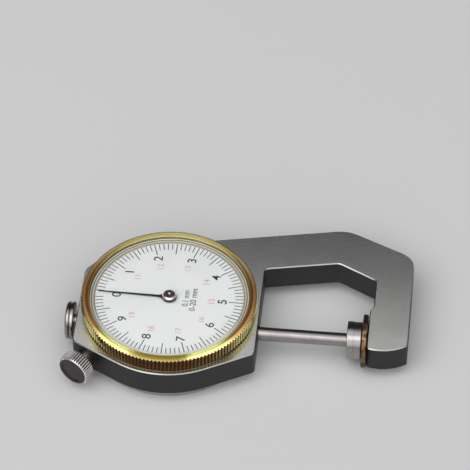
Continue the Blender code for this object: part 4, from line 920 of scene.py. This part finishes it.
class Divisions(ShapeGraph):
    """Lays straight strokes round +Z and leaves out nought and the multiples of a number."""

    def __init__(self) -> None:
        """Builds the tree."""
        wholes = ("Divisions", "Step", "Leave Out")
        sizes = ("Inner Radius", "Outer Radius", "Width", "Thickness", "Level")
        super().__init__("divisions", wholes, sizes)
        count, step, left_out = (self.inputs[name] for name in wholes)
        inner, outer, width, thickness, level = (self.inputs[name] for name in sizes)
        number = self.math("MULTIPLY", self.out("GeometryNodeInputIndex"), step)
        kept = self.math("GREATER_THAN", self.math("MODULO", number, left_out), 0.5)
        size = self.xyz(self.math("SUBTRACT", outer, inner), width, thickness)
        bar = self.out("GeometryNodeMeshCube", {"Size": size})
        middle = self.math("MULTIPLY", self.math("ADD", inner, outer), 0.5)
        shift = self.xyz(middle, 0, level)
        placed = self.out("GeometryNodeTransform", {"Geometry": bar, "Translation": shift})
        turned = self.math("MULTIPLY", number, self.math("DIVIDE", FULL_TURN, count))
        self.end(self.math("DIVIDE", count, step), placed, self.math("SUBTRACT", math.pi, turned), kept)


def round_mesh(name: str, step: Mesh, copies: int, axis: Axis, material: Material) -> Mesh:
    """Repeats one step of a pattern for a full turn.

    Args:
        name: the result's name.
        step: the step, about +Z.
        copies: how many there are.
        axis: the line that the result lies about.
        material: its material.

    Returns:
        The mesh.
    """
    shape = bmesh.new()
    shape.from_mesh(RoundPattern().run(name, step, {"Copies": copies, "Material": material}))
    shape.transform(axis.matrix())
    return finished_mesh(name, shape)


@dataclass(frozen=True)
class RibbedRim:
    """The rounded ribs of a knurled edge, with the places and lifts of one rib's columns."""

    ribs: int
    crest: float
    depth: float
    columns: tuple[Point, ...] = (
        (0.0, 0.0), (0.1, 0.06), (0.42, 0.92), (0.5, 1.0), (0.58, 0.92), (0.9, 0.06), (1.0, 0.0),
    )

    def radius(self, lift: float) -> float:
        """Returns the radius of a column that stands the given share of a rib's depth up."""
        return self.crest - self.depth * (1 - lift)

    def mesh(self, name: str, section: Section, axis: Axis, material: Material, closed: bool = False) -> Mesh:
        """Builds a ribbed piece from one step of its rim.

        Args:
            name: the mesh's name.
            section: gives a column's points.
            axis: the line that the piece lies about.
            material: its material.
            closed: whether a column's last point joins its first.

        Returns:
            The mesh.
        """
        shape = bmesh.new()
        strips = []
        for share, lift in self.columns:
            angle = FULL_TURN / self.ribs * share
            cosine, sine = math.cos(angle), math.sin(angle)
            strips.append([shape.verts.new((r * cosine, r * sine, z)) for r, z in section(lift)])
        for left, right in zip(strips, strips[1:]):
            for row in range(len(left) if closed else len(left) - 1):
                after = (row + 1) % len(left)
                shape.faces.new((left[row], right[row], right[after], left[after]))
        step = bpy.data.meshes.new(name)
        shape.to_mesh(step)
        shape.free()
        return round_mesh(name, step, self.ribs, axis, material)


@dataclass
class Bezel:
    """The knurled gold ring that turns with the dial."""

    rim: RibbedRim = RibbedRim(144, 0.0294, 0.00038)
    foot_radius: float = 0.02675
    foot_edge: float = 0.0288
    low: float = 0.0144
    foot_high: float = 0.0149
    chamfer_slope: float = 0.45
    high: float = 0.0193
    band_edge: float = 0.02845
    groove_outer: float = 0.02795
    groove_inner: float = 0.02777
    groove_low: float = 0.01918
    groove_ease: float = 0.00005
    groove_slant: float = 0.00004
    inner_slant: float = 0.00002
    inner_ease: float = 0.00004
    inner_band_high: float = 0.01927
    lip_radius: float = 0.0267
    lip_high: float = 0.01925
    lip_low: float = 0.0189
    lip_ease: float = 0.00012
    bore_radius: float = 0.0272
    clip_groove_radius: float = 0.0277
    clip_groove_high: float = 0.017
    clip_groove_low: float = 0.0162

    def section(self, lift: float) -> list[Point]:
        """Gives the ring's section where a rib stands the given share of its depth up.

        Args:
            lift: the share, from 0 in a valley to 1 on a crest.

        Returns:
            The closed section's points of radius and height.
        """
        radius = self.rim.radius(lift)
        foot = self.low + (radius - self.foot_edge)
        top = self.high - (radius - self.band_edge) * self.chamfer_slope
        rounded = eased([
            (self.band_edge, self.high, 0), (self.groove_outer, self.high, self.groove_ease),
            (self.groove_outer - self.groove_slant, self.groove_low, 0),
            (self.groove_inner, self.groove_low, 0),
            (self.groove_inner - self.inner_slant, self.inner_band_high, self.inner_ease),
            (self.lip_radius, self.lip_high, self.lip_ease), (self.lip_radius, self.lip_low, 0),
        ])
        return [
            (self.foot_radius, self.low), (self.foot_edge, self.low), (radius, foot), (radius, top), *rounded,
            (self.bore_radius, self.lip_low), (self.bore_radius, self.clip_groove_high),
            (self.clip_groove_radius, self.clip_groove_high), (self.clip_groove_radius, self.clip_groove_low),
            (self.bore_radius, self.clip_groove_low), (self.bore_radius, self.foot_high),
            (self.foot_radius, self.foot_high),
        ]

    def build(self) -> None:
        """Builds the ring."""
        gilt = GOLD.material()
        ring = self.rim.mesh("bezel_ring", self.section, DIAL_AXIS, gilt, closed=True)
        settle("bezel_ring", ring, gilt, "bezel", "bezel", "bezel")


@dataclass
class Crystal:
    """The clear domed cover and the bevelled ring under its rim."""

    radius: float = 0.027
    dome_radius: float = 0.0261
    low: float = 0.01828
    thickness: float = 0.0005
    dome: float = 0.0015
    rows: int = 14
    segments: int = 160
    ring_inner: float = 0.0248
    ring_outer: float = 0.027
    ring_low: float = 0.01762
    ring_inner_high: float = 0.01782
    ring_high: float = 0.01816
    ring_slope_end: float = 0.0267
    line_radii: tuple[float, ...] = (0.02598, 0.025)
    line_half: float = 0.00013
    line_floor: float = 0.3
    line_depth: float = 0.00004

    def build(self) -> None:
        """Builds the cover and the ring."""
        shares = [row / self.rows for row in range(self.rows + 1)]
        curve = [(self.dome_radius * share, self.dome * (1 - share * share)) for share in shares]
        high = self.low + self.thickness
        outline = [(radius, self.low + rise) for radius, rise in curve]
        outline += [(self.radius, self.low), (self.radius, high)]
        outline += [(radius, high + rise) for radius, rise in reversed(curve)]
        dome = turned_mesh("crystal_dome", outline, self.segments, DIAL_AXIS)
        settle("crystal_dome", dome, CRYSTAL_GLASS.material(), "bezel", "crystal", "crystal")
        ring = turned_mesh("dial_rim", self.ring_outline(), self.segments, DIAL_AXIS, closed=True)
        settle("dial_rim", ring, CHAMPAGNE.material(), "bezel", "ring", "dial_ring")

    def ring_outline(self) -> list[Point]:
        """Lays out the bevelled ring's section, with fine turned lines on its slope.

        Returns:
            The closed section's points of radius and height.
        """
        slope = (self.ring_high - self.ring_inner_high) / (self.ring_slope_end - self.ring_inner)
        outline = [
            (self.ring_inner, self.ring_low), (self.ring_outer, self.ring_low),
            (self.ring_outer, self.ring_high), (self.ring_slope_end, self.ring_high),
        ]
        for middle in self.line_radii:
            for offset, drop in ((1, 0), (self.line_floor, 1), (-self.line_floor, 1), (-1, 0)):
                radius = middle + offset * self.line_half
                height = self.ring_inner_high + (radius - self.ring_inner) * slope
                outline.append((radius, height - drop * self.line_depth))
        outline.append((self.ring_inner, self.ring_inner_high))
        return outline


@dataclass(frozen=True)
class FigureRow:
    """One round of the dial's figures, each its place plus a number.

    A nought is the share of its height wide. At the dial's front and back the round swells outwards.
    """

    name: str
    first: int
    added: int
    height: float
    share: float
    radius: float
    swell: float
    ink: PaintFinish


@dataclass
class Dial:
    """The white dial's print: its divisions, figures and legends."""

    level: float = 0.0175
    ink: float = 0.00001
    divisions: int = 100
    places: int = 10
    outer_radius: float = 0.02475
    # Each length's name, its step, the multiples that it leaves out, its inner radius and its width.
    strokes: tuple[tuple[str, int, int, float, float], ...] = (
        ("fine", 1, 5, 0.02203, 0.00029), ("half", 5, 10, 0.0201, 0.00032),
        ("whole", 10, 1000, 0.01998, 0.00032),
    )
    rows: tuple[FigureRow, ...] = (
        FigureRow("dial_figures", 0, 0, 0.00305, 0.7, 0.01775, 0.00075, INK_BLACK),
        FigureRow("turn_figures", 1, 10, 0.0021, 0.62, 0.0141, 0.0007, INK_RED),
    )
    legend_height: float = 0.0021
    # Each legend's words, its middle's place and its length.
    legends: tuple[tuple[str, Point, float], ...] = (
        ("0.1 mm", (0.00548, 0.00045), 0.0071), ("0-20 mm", (0.00802, 0.0), 0.01),
    )
    boldness: float = 0.01
    curve_steps: int = 5

    def build(self) -> None:
        """Dresses the dial and prints it."""
        dress("dial", DIAL_WHITE.material())
        self.build_divisions()
        for row in self.rows:
            figures = [self.figure(row, value) for value in range(row.first, self.places)]
            self.print_piece(row.name, figures, row.ink)
        legends = [
            self.laid(self.text_mesh(text), place, self.legend_height, length)
            for text, place, length in self.legends
        ]
        self.print_piece("dial_legends", legends, INK_GREY)

    def build_divisions(self) -> None:
        """Lays the dial's strokes in three lengths."""
        ink, tree, shape = INK_FINE.material(), Divisions(), bmesh.new()
        shared = {
            "Divisions": self.divisions, "Outer Radius": self.outer_radius, "Thickness": self.ink * 2,
            "Level": self.level, "Material": ink,
        }
        for name, step, left_out, inner, width in self.strokes:
            own = {"Step": step, "Leave Out": left_out, "Inner Radius": inner, "Width": width}
            shape.from_mesh(tree.run(f"{name}_strokes", bpy.data.meshes.new(name), shared | own))
        mesh = finished_mesh("dial_divisions", shape, smooth=False)
        settle("dial_divisions", mesh, ink, "bezel", "dial")

    def text_mesh(self, text: str) -> Mesh:
        """Makes flat lettering with a little thickness.

        Args:
            text: the letters.

        Returns:
            The mesh, its thickness from -0.5 to 0.5.
        """
        curve = bpy.data.curves.new("lettering", "FONT")
        curve.body, curve.extrude, curve.offset = text, 0.5, self.boldness
        curve.resolution_u = self.curve_steps
        return taken_mesh(new_object("lettering", curve))

    def laid(self, mesh: Mesh, place: Point, height: float, width: float) -> Mesh:
        """Lays lettering on the dial with its top towards -X.

        Args:
            mesh: the lettering, which is changed.
            place: the middle's place on the dial.
            height: its height.
            width: its length.

        Returns:
            The mesh.
        """
        corners = [vertex.co for vertex in mesh.vertices]
        low, high = (Vector([end(corner[i] for corner in corners) for i in range(3)]) for end in (min, max))
        size = high - low
        scale = Matrix.Diagonal((width / size.x, height / size.y, self.ink * 2, 1))
        turn = Matrix.Rotation(math.pi / 2, 4, "Z")
        centred = Matrix.Translation(-(low + high) / 2)
        mesh.transform(Matrix.Translation((*place, self.level)) @ turn @ scale @ centred)
        return mesh

    def figure(self, row: FigureRow, value: int) -> Mesh:
        """Makes one figure of the dial.

        Args:
            row: the round that it belongs to.
            value: its place, from 0 to 9.

        Returns:
            Its mesh.
        """
        angle = math.pi - FULL_TURN * value / self.places
        radius = row.radius + row.swell * math.sin(angle) ** 2
        place = (radius * math.cos(angle), radius * math.sin(angle))
        mesh = self.text_mesh(str(row.added + value))
        reaches = [[vertex.co.x for vertex in letters.vertices] for letters in (mesh, self.text_mesh("0"))]
        breadth, unit = (max(reach) - min(reach) for reach in reaches)
        return self.laid(mesh, place, row.height, breadth / unit * row.height * row.share)

    def print_piece(self, name: str, meshes: Sequence[Mesh], ink: PaintFinish) -> None:
        """Joins lettering into one printed piece.

        Args:
            name: the piece's name.
            meshes: the lettering.
            ink: its ink.
        """
        shape = bmesh.new()
        for mesh in meshes:
            shape.from_mesh(mesh)
        settle(name, finished_mesh(name, shape, smooth=False), ink.material(), "bezel", "dial")


@dataclass
class Pointer:
    """The black pointer and the domed cap that holds it on its arbor."""

    low: float = 0.0181
    high: float = 0.0183
    tip_x: float = -0.024
    tip_half: float = 0.00016
    root_x: float = -0.0038
    root_half: float = 0.00042
    flare: tuple[Point, ...] = (
        (-0.0033, 0.0005), (-0.0029, 0.0007), (-0.0024, 0.00105), (-0.0019, 0.00146),
    )
    hub_radius: float = 0.0025
    hub_steps: int = 56
    hole_radius: float = 0.00095
    hole_steps: int = 32
    turned_deg: float = -1.3
    cap: Turned = Turned(
        "pointer_cap", "pointer_boss", "pointer", "boss", DIAL_AXIS, CAP_STEEL, (
            (0.00095, 0.01842, 0), (0.0024, 0.01842, 0.00004),  # foot
            (0.0024, 0.019, 0.00025), (0.00192, 0.01959, 0.00022), (0.00084, 0.01962, 0.0003),  # dome
            (0.0006, 0.01962, 0.00006), (0.00018, 0.01932, 0.00006), (0, 0.01932, 0),  # pit
            (0, 0.01882, 0), (0.00095, 0.01882, 0),  # bore
        ), segments=72, closed=True,
    )

    def outline(self) -> list[Point]:
        """Draws the pointer's outline, which flares into its round hub.

        Returns:
            The outline's points.
        """
        upper = [(self.tip_x, self.tip_half), (self.root_x, self.root_half), *self.flare]
        start = math.atan2(self.flare[-1][1], self.flare[-1][0])
        angles = [start - 2 * start * step / self.hub_steps for step in range(1, self.hub_steps)]
        hub = [(self.hub_radius * math.cos(a), self.hub_radius * math.sin(a)) for a in angles]
        return upper + hub + [(x, -y) for x, y in reversed(upper)]

    def wall(self, shape: Shape, outline: Sequence[Point]) -> list[list[bmesh.types.BMVert]]:
        """Stands a closed outline up as a wall.

        Args:
            shape: the shape that the wall goes into.
            outline: its points.

        Returns:
            The wall's lower and upper loop.
        """
        low, high = ([shape.verts.new((x, y, z)) for x, y in outline] for z in (self.low, self.high))
        for i in range(len(outline)):
            j = (i + 1) % len(outline)
            shape.faces.new((low[i], low[j], high[j], high[i]))
        return [low, high]

    def build(self) -> None:
        """Builds the pointer and its cap."""
        shape = bmesh.new()
        angles = [FULL_TURN * i / self.hole_steps for i in range(self.hole_steps)]
        hole = [(self.hole_radius * math.cos(a), self.hole_radius * math.sin(a)) for a in angles]
        walls = [self.wall(shape, outline) for outline in (self.outline(), hole)]
        for loops in zip(*walls):
            pairs = [pair for loop in loops for pair in zip(loop, loop[1:] + loop[:1])]
            edges = [shape.edges.get(pair) for pair in pairs]
            bmesh.ops.triangle_fill(shape, edges=edges, use_beauty=True)
        shape.transform(Matrix.Rotation(math.radians(self.turned_deg), 4, "Z"))
        hand = finished_mesh("pointer_hand", shape)
        settle("pointer_hand", hand, POINTER_BLACK.material(), "pointer", "pointer", "pointer")
        self.cap.build()


@dataclass
class Spindle:
    """The spindle with its anvil and pull button, and the anvil that it closes on."""

    anvil: Turned = Turned(
        "anvil_disc", "moving_anvil", "spindle", "steel", SPINDLE_AXIS, POLISHED, (
            (0, 0.0624, 0), (0.0017, 0.0624, 0), (0.0017, 0.06, 0.0001),  # socket for the rod
            (0.0064, 0.06, 0.00028), (0.0064, 0.0622, 0.00006),  # back ring
            (0.00615, 0.0622, 0), (0.00615, 0.0624, 0),  # groove
            (0.00625, 0.0624, 0.00004), (0.00625, 0.0649, 0.00028), (0, 0.0649, 0),  # front ring and face
        ),
    )
    button: Turned = Turned(
        "pull_knob", "pull_button", "spindle", "steel", BUTTON_AXIS, POLISHED, (
            (0, 0.0338, 0), (0.0017, 0.0338, 0), (0.0017, 0.0314, 0),  # socket for the rod
            (0.0064, 0.0314, 0.0004), (0.0064, 0.03245, 0.0001),  # back half of the rim
            (0.006, 0.03275, 0.00005), (0.0064, 0.03305, 0.0001),  # groove
            (0.0064, 0.0341, 0.00075), (0.005, 0.0341, 0.0001),  # front half of the rim
            (0.0042, 0.0341, 0.0002), (0.00252, 0.0347, 0.0012), (0, 0.0347, 0),  # low dome
        ),
    )
    seat: Turned = Turned(
        "anvil_seat", "fixed_anvil", "root", "anvil", SPINDLE_AXIS, BROWNED, (
            (0, 0.0651, 0), (0.0089, 0.0651, 0.00028), (0.0089, 0.0667, 0.00028),  # thin disc
            (0.002, 0.0667, 0), (0.002, 0.0747, 0.0002), (0, 0.0747, 0),  # shank
        ),
    )

    def build(self) -> None:
        """Builds the moving pieces and the fixed anvil."""
        steel = ROD_STEEL.material(SPINDLE_AXIS)
        settle("spindle_rod", clean_copy("spindle", "spindle_rod"), steel, "spindle", "steel", "spindle")
        for piece in (self.anvil, self.button, self.seat):
            piece.build()


@dataclass
class Lock:
    """The knurled lock screw on the slanted face, with its neck."""

    rim: RibbedRim = RibbedRim(40, 0.00575, 0.00045)
    shank_radius: float = 0.0015
    shank_low: float = 0.005737
    shank_edge: float = 0.0002
    head_low: float = 0.020948
    head_high: float = 0.025448
    edge: float = 0.0006
    dish_radius: float = 0.0042
    dish_depth: float = 0.0003
    dish_edge: float = 0.00008
    neck: Turned = Turned(
        "lock_neck", "lock_sleeve", "root", "sleeve", LOCK_AXIS, SLEEVE_STEEL, (
            (0.0017, 0.00427, 0), (0.0028, 0.00427, 0.0002),  # end in the frame
            (0.0028, 0.020498, 0.0002), (0.0017, 0.020498, 0),  # end under the knob
        ), segments=64, closed=True,
    )

    def section(self, lift: float) -> list[Point]:
        """Gives the screw's section where a rib stands the given share of its depth up.

        Args:
            lift: the share, from 0 in a valley to 1 on a crest.

        Returns:
            The section's points of radius and height.
        """
        radius, inner = self.rim.radius(lift), self.rim.crest - self.edge
        fall = radius - inner
        dish_floor = self.head_high - self.dish_depth
        return [
            (0, self.shank_low), (self.shank_radius - self.shank_edge, self.shank_low),
            (self.shank_radius, self.shank_low + self.shank_edge), (self.shank_radius, self.head_low),
            (inner, self.head_low), (radius, self.head_low + fall), (radius, self.head_high - fall),
            (inner, self.head_high), (self.dish_radius + self.dish_edge, self.head_high),
            (self.dish_radius, self.head_high - self.dish_edge),
            (self.dish_radius - self.dish_depth, dish_floor), (self.shank_radius, dish_floor),
            (0, dish_floor),
        ]

    def build(self) -> None:
        """Builds the screw and its neck."""
        steel = KNOB_STEEL.material(LOCK_AXIS)
        knob = self.rim.mesh("lock_knob", self.section, LOCK_AXIS, steel)
        settle("lock_knob", knob, steel, "lock_screw", "steel", "lock_screw")
        self.neck.build()


@dataclass
class CoverScrews:
    """The four slotted screws of the back cover."""

    count: int = 4
    circle: float = 0.0259
    first: float = math.pi / 4
    low: float = 0.0002
    head_radius: float = 0.0014
    head_height: float = 0.0009
    head_edge: float = 0.00012
    head_inner_edge: float = 0.00003
    shank_radius: float = 0.00075
    shank_edge: float = 0.00015
    length: float = 0.0062
    segments: int = 40
    slot_length: float = 0.0042
    slot_width: float = 0.0004
    slot_depth: float = 0.0004

    def build(self) -> None:
        """Builds one screw and repeats it round the cover."""
        steel = SCREW_STEEL.material()
        place = Vector((self.circle * math.cos(self.first), self.circle * math.sin(self.first), self.low))
        outline = eased([
            (0, 0, 0), (self.head_radius, 0, self.head_edge),
            (self.head_radius, self.head_height, self.head_inner_edge),
            (self.shank_radius, self.head_height, 0), (self.shank_radius, self.length, self.shank_edge),
            (0, self.length, 0),
        ])
        blank = turned_mesh("screw_blank", outline, self.segments, Axis(tuple(place), (0, 0, 1)))
        screw = new_object("screw_blank", blank, steel)
        shape = bmesh.new()
        bmesh.ops.create_cube(shape, size=1)
        scale = Matrix.Diagonal((self.slot_length, self.slot_width, self.slot_depth * 2, 1))
        shape.transform(Matrix.Translation(place) @ scale)
        tool = new_object("slot_tool", finished_mesh("slot_tool", shape, smooth=False), steel)
        cut = screw.modifiers.new("slot", "BOOLEAN")
        cut.operation, cut.solver, cut.object = "DIFFERENCE", "EXACT", tool
        slotted = taken_mesh(screw)
        bpy.data.objects.remove(tool)
        screws = round_mesh("cover_screws", slotted, self.count, DIAL_AXIS, steel)
        nodes = [f"cover_screw_{number}" for number in range(1, self.count + 1)]
        settle("cover_screws", screws, steel, "root", "steel", *nodes)


@dataclass
class FrameBody:
    """The C-shaped frame and its back cover."""

    def build(self) -> None:
        """Builds the frame and the cover with their round faces smooth."""
        body, cover = clean_copy("frame", "frame_body"), clean_copy("back_cover", "cover_plate")
        settle("frame_body", body, FRAME_ALLOY.material(), "root", "frame", "frame")
        settle("cover_plate", cover, COVER_ALLOY.material(), "root", "cover", "back_cover")


@dataclass
class Works:
    """The movement inside the frame, whose CAD nodes stay and are dressed."""

    brass: tuple[str, ...] = (
        "left_bush", "right_bush", "upper_bush", "lower_bush", "movement_plate", "pillar_1", "pillar_2",
        "pillar_3", "rack_screw", "spring_peg", "take_up_gear", "hairspring_collet", "lock_pad",
    )
    steel: tuple[str, ...] = (
        "plate_screw_1", "plate_screw_2", "plate_screw_3", "hairspring_stud", "return_spring", "spring_post",
        "wire_ring", "rack", "guide_pin", "centre_arbor", "dial_clip",
    )
    blued: tuple[str, ...] = ("hairspring",)

    def build(self) -> None:
        """Dresses each node of the movement."""
        for finish, nodes in ((BRASS, self.brass), (SCREW_STEEL, self.steel), (BLUED, self.blued)):
            material = finish.material()
            for node in nodes:
                dress(node, material)


@dataclass(frozen=True)
class SoftLamp:
    """A soft rectangular lamp, with the one piece that it lights where it doesn't light them all."""

    name: str
    place: Place
    target: Place
    width: float
    height: float
    power: float
    only: str = ""

    def build(self) -> None:
        """Builds the lamp."""
        light = bpy.data.lights.new(self.name, "AREA")
        light.shape = "RECTANGLE"
        light.size, light.size_y, light.energy = self.width, self.height, self.power
        lamp = new_object(self.name, light)
        lamp.visible_camera = False
        lamp.location = self.place
        aim = Vector(self.target) - Vector(self.place)
        lamp.rotation_euler = aim.to_track_quat("-Z", "Y").to_euler()
        if self.only:
            lit = bpy.data.collections.new(f"{self.name}_lit")
            lit.objects.link(bpy.data.objects[self.only])
            lamp.light_linking.receiver_collection = lit


@dataclass
class Studio:
    """A plain pale floor, soft lamps and a camera at the photograph's angle."""

    floor_size: float = 6.0
    floor_level: float = -0.00002
    world_dark: float = 0.05
    world_bright: float = 1.3
    world_front: Place = (0.04, -0.5, 0.86)
    world_ends: Ends = (0.35, 0.92)
    elevation: float = math.radians(46.774)
    azimuth: float = math.radians(5.822)
    roll: float = math.radians(-0.2336)
    eye: Place = (0.094462, -0.709624, 0.809615)
    lens: float = 245.02
    sensor: float = 36.0
    lamps: tuple[SoftLamp, ...] = (
        SoftLamp("key_lamp", (-0.4, -0.55, 1.0), (0, 0, 0), 1.0, 1.0, 4.0),
        SoftLamp("frame_lamp", (0.02, 0.1225, 0.2), (0.02, 0.1225, 0), 0.36, 0.065, 0.105, "frame_body"),
        SoftLamp("bezel_lamp", (0.02, 0.08, 0.2), (0.02, 0.08, 0), 0.36, 0.15, 0.22, "bezel_ring"),
    )

    def build(self) -> None:
        """Builds the floor, the world, the lamps and the camera once the pieces are there."""
        self.build_floor()
        self.build_world()
        for lamp in self.lamps:
            lamp.build()
        self.build_camera()
        bpy.context.scene.view_settings.view_transform = "Standard"

    def build_floor(self) -> None:
        """Builds the floor."""
        shape = bmesh.new()
        bmesh.ops.create_grid(shape, x_segments=1, y_segments=1, size=self.floor_size / 2)
        shape.transform(Matrix.Translation((0, 0, self.floor_level)))
        floor = new_object("floor", finished_mesh("floor", shape, smooth=False), FLOOR_PAPER.material())

    def build_world(self) -> None:
        """Builds the soft room light, brightest above and in front."""
        world = bpy.data.worlds.new("soft_room")
        world.use_nodes = True
        bpy.context.scene.world = world
        graph = NodeGraph(world.node_tree)
        ray = graph.add("ShaderNodeTexCoord").outputs["Generated"]
        ahead = graph.dot(ray, self.world_front)
        level = graph.span(ahead, *self.world_ends, self.world_dark, self.world_bright)
        graph.feed(world.node_tree.nodes["Background"], {"Color": (1, 1, 1), "Strength": level})

    def build_camera(self) -> None:
        """Adds the camera."""
        e, a, r = self.elevation, self.azimuth, self.roll
        back = Vector((math.sin(a) * math.cos(e), -math.cos(a) * math.cos(e), math.sin(e)))
        level = Vector((math.cos(a), math.sin(a), 0))
        rise = back.cross(level)
        right = math.cos(r) * level + math.sin(r) * rise
        up = math.cos(r) * rise - math.sin(r) * level
        data = bpy.data.cameras.new("camera")
        data.lens, data.sensor_width = self.lens, self.sensor
        camera = new_object("camera", data)
        turn = Matrix((right, up, back)).transposed().to_4x4()
        camera.matrix_world = Matrix.Translation(self.eye) @ turn
        bpy.context.scene.camera = camera


def main() -> None:
    """Builds every sub-assembly in order."""
    logging.basicConfig(level=logging.INFO, format="%(name)s: %(message)s")
    gauge = (FrameBody(), CoverScrews(), Works(), Spindle(), Lock(), Bezel(), Dial(), Pointer(), Crystal())
    for assembly in (*gauge, Studio()):
        LOG.info("building %s", type(assembly).__name__)
        assembly.build()


if __name__ == "__main__":
    main()
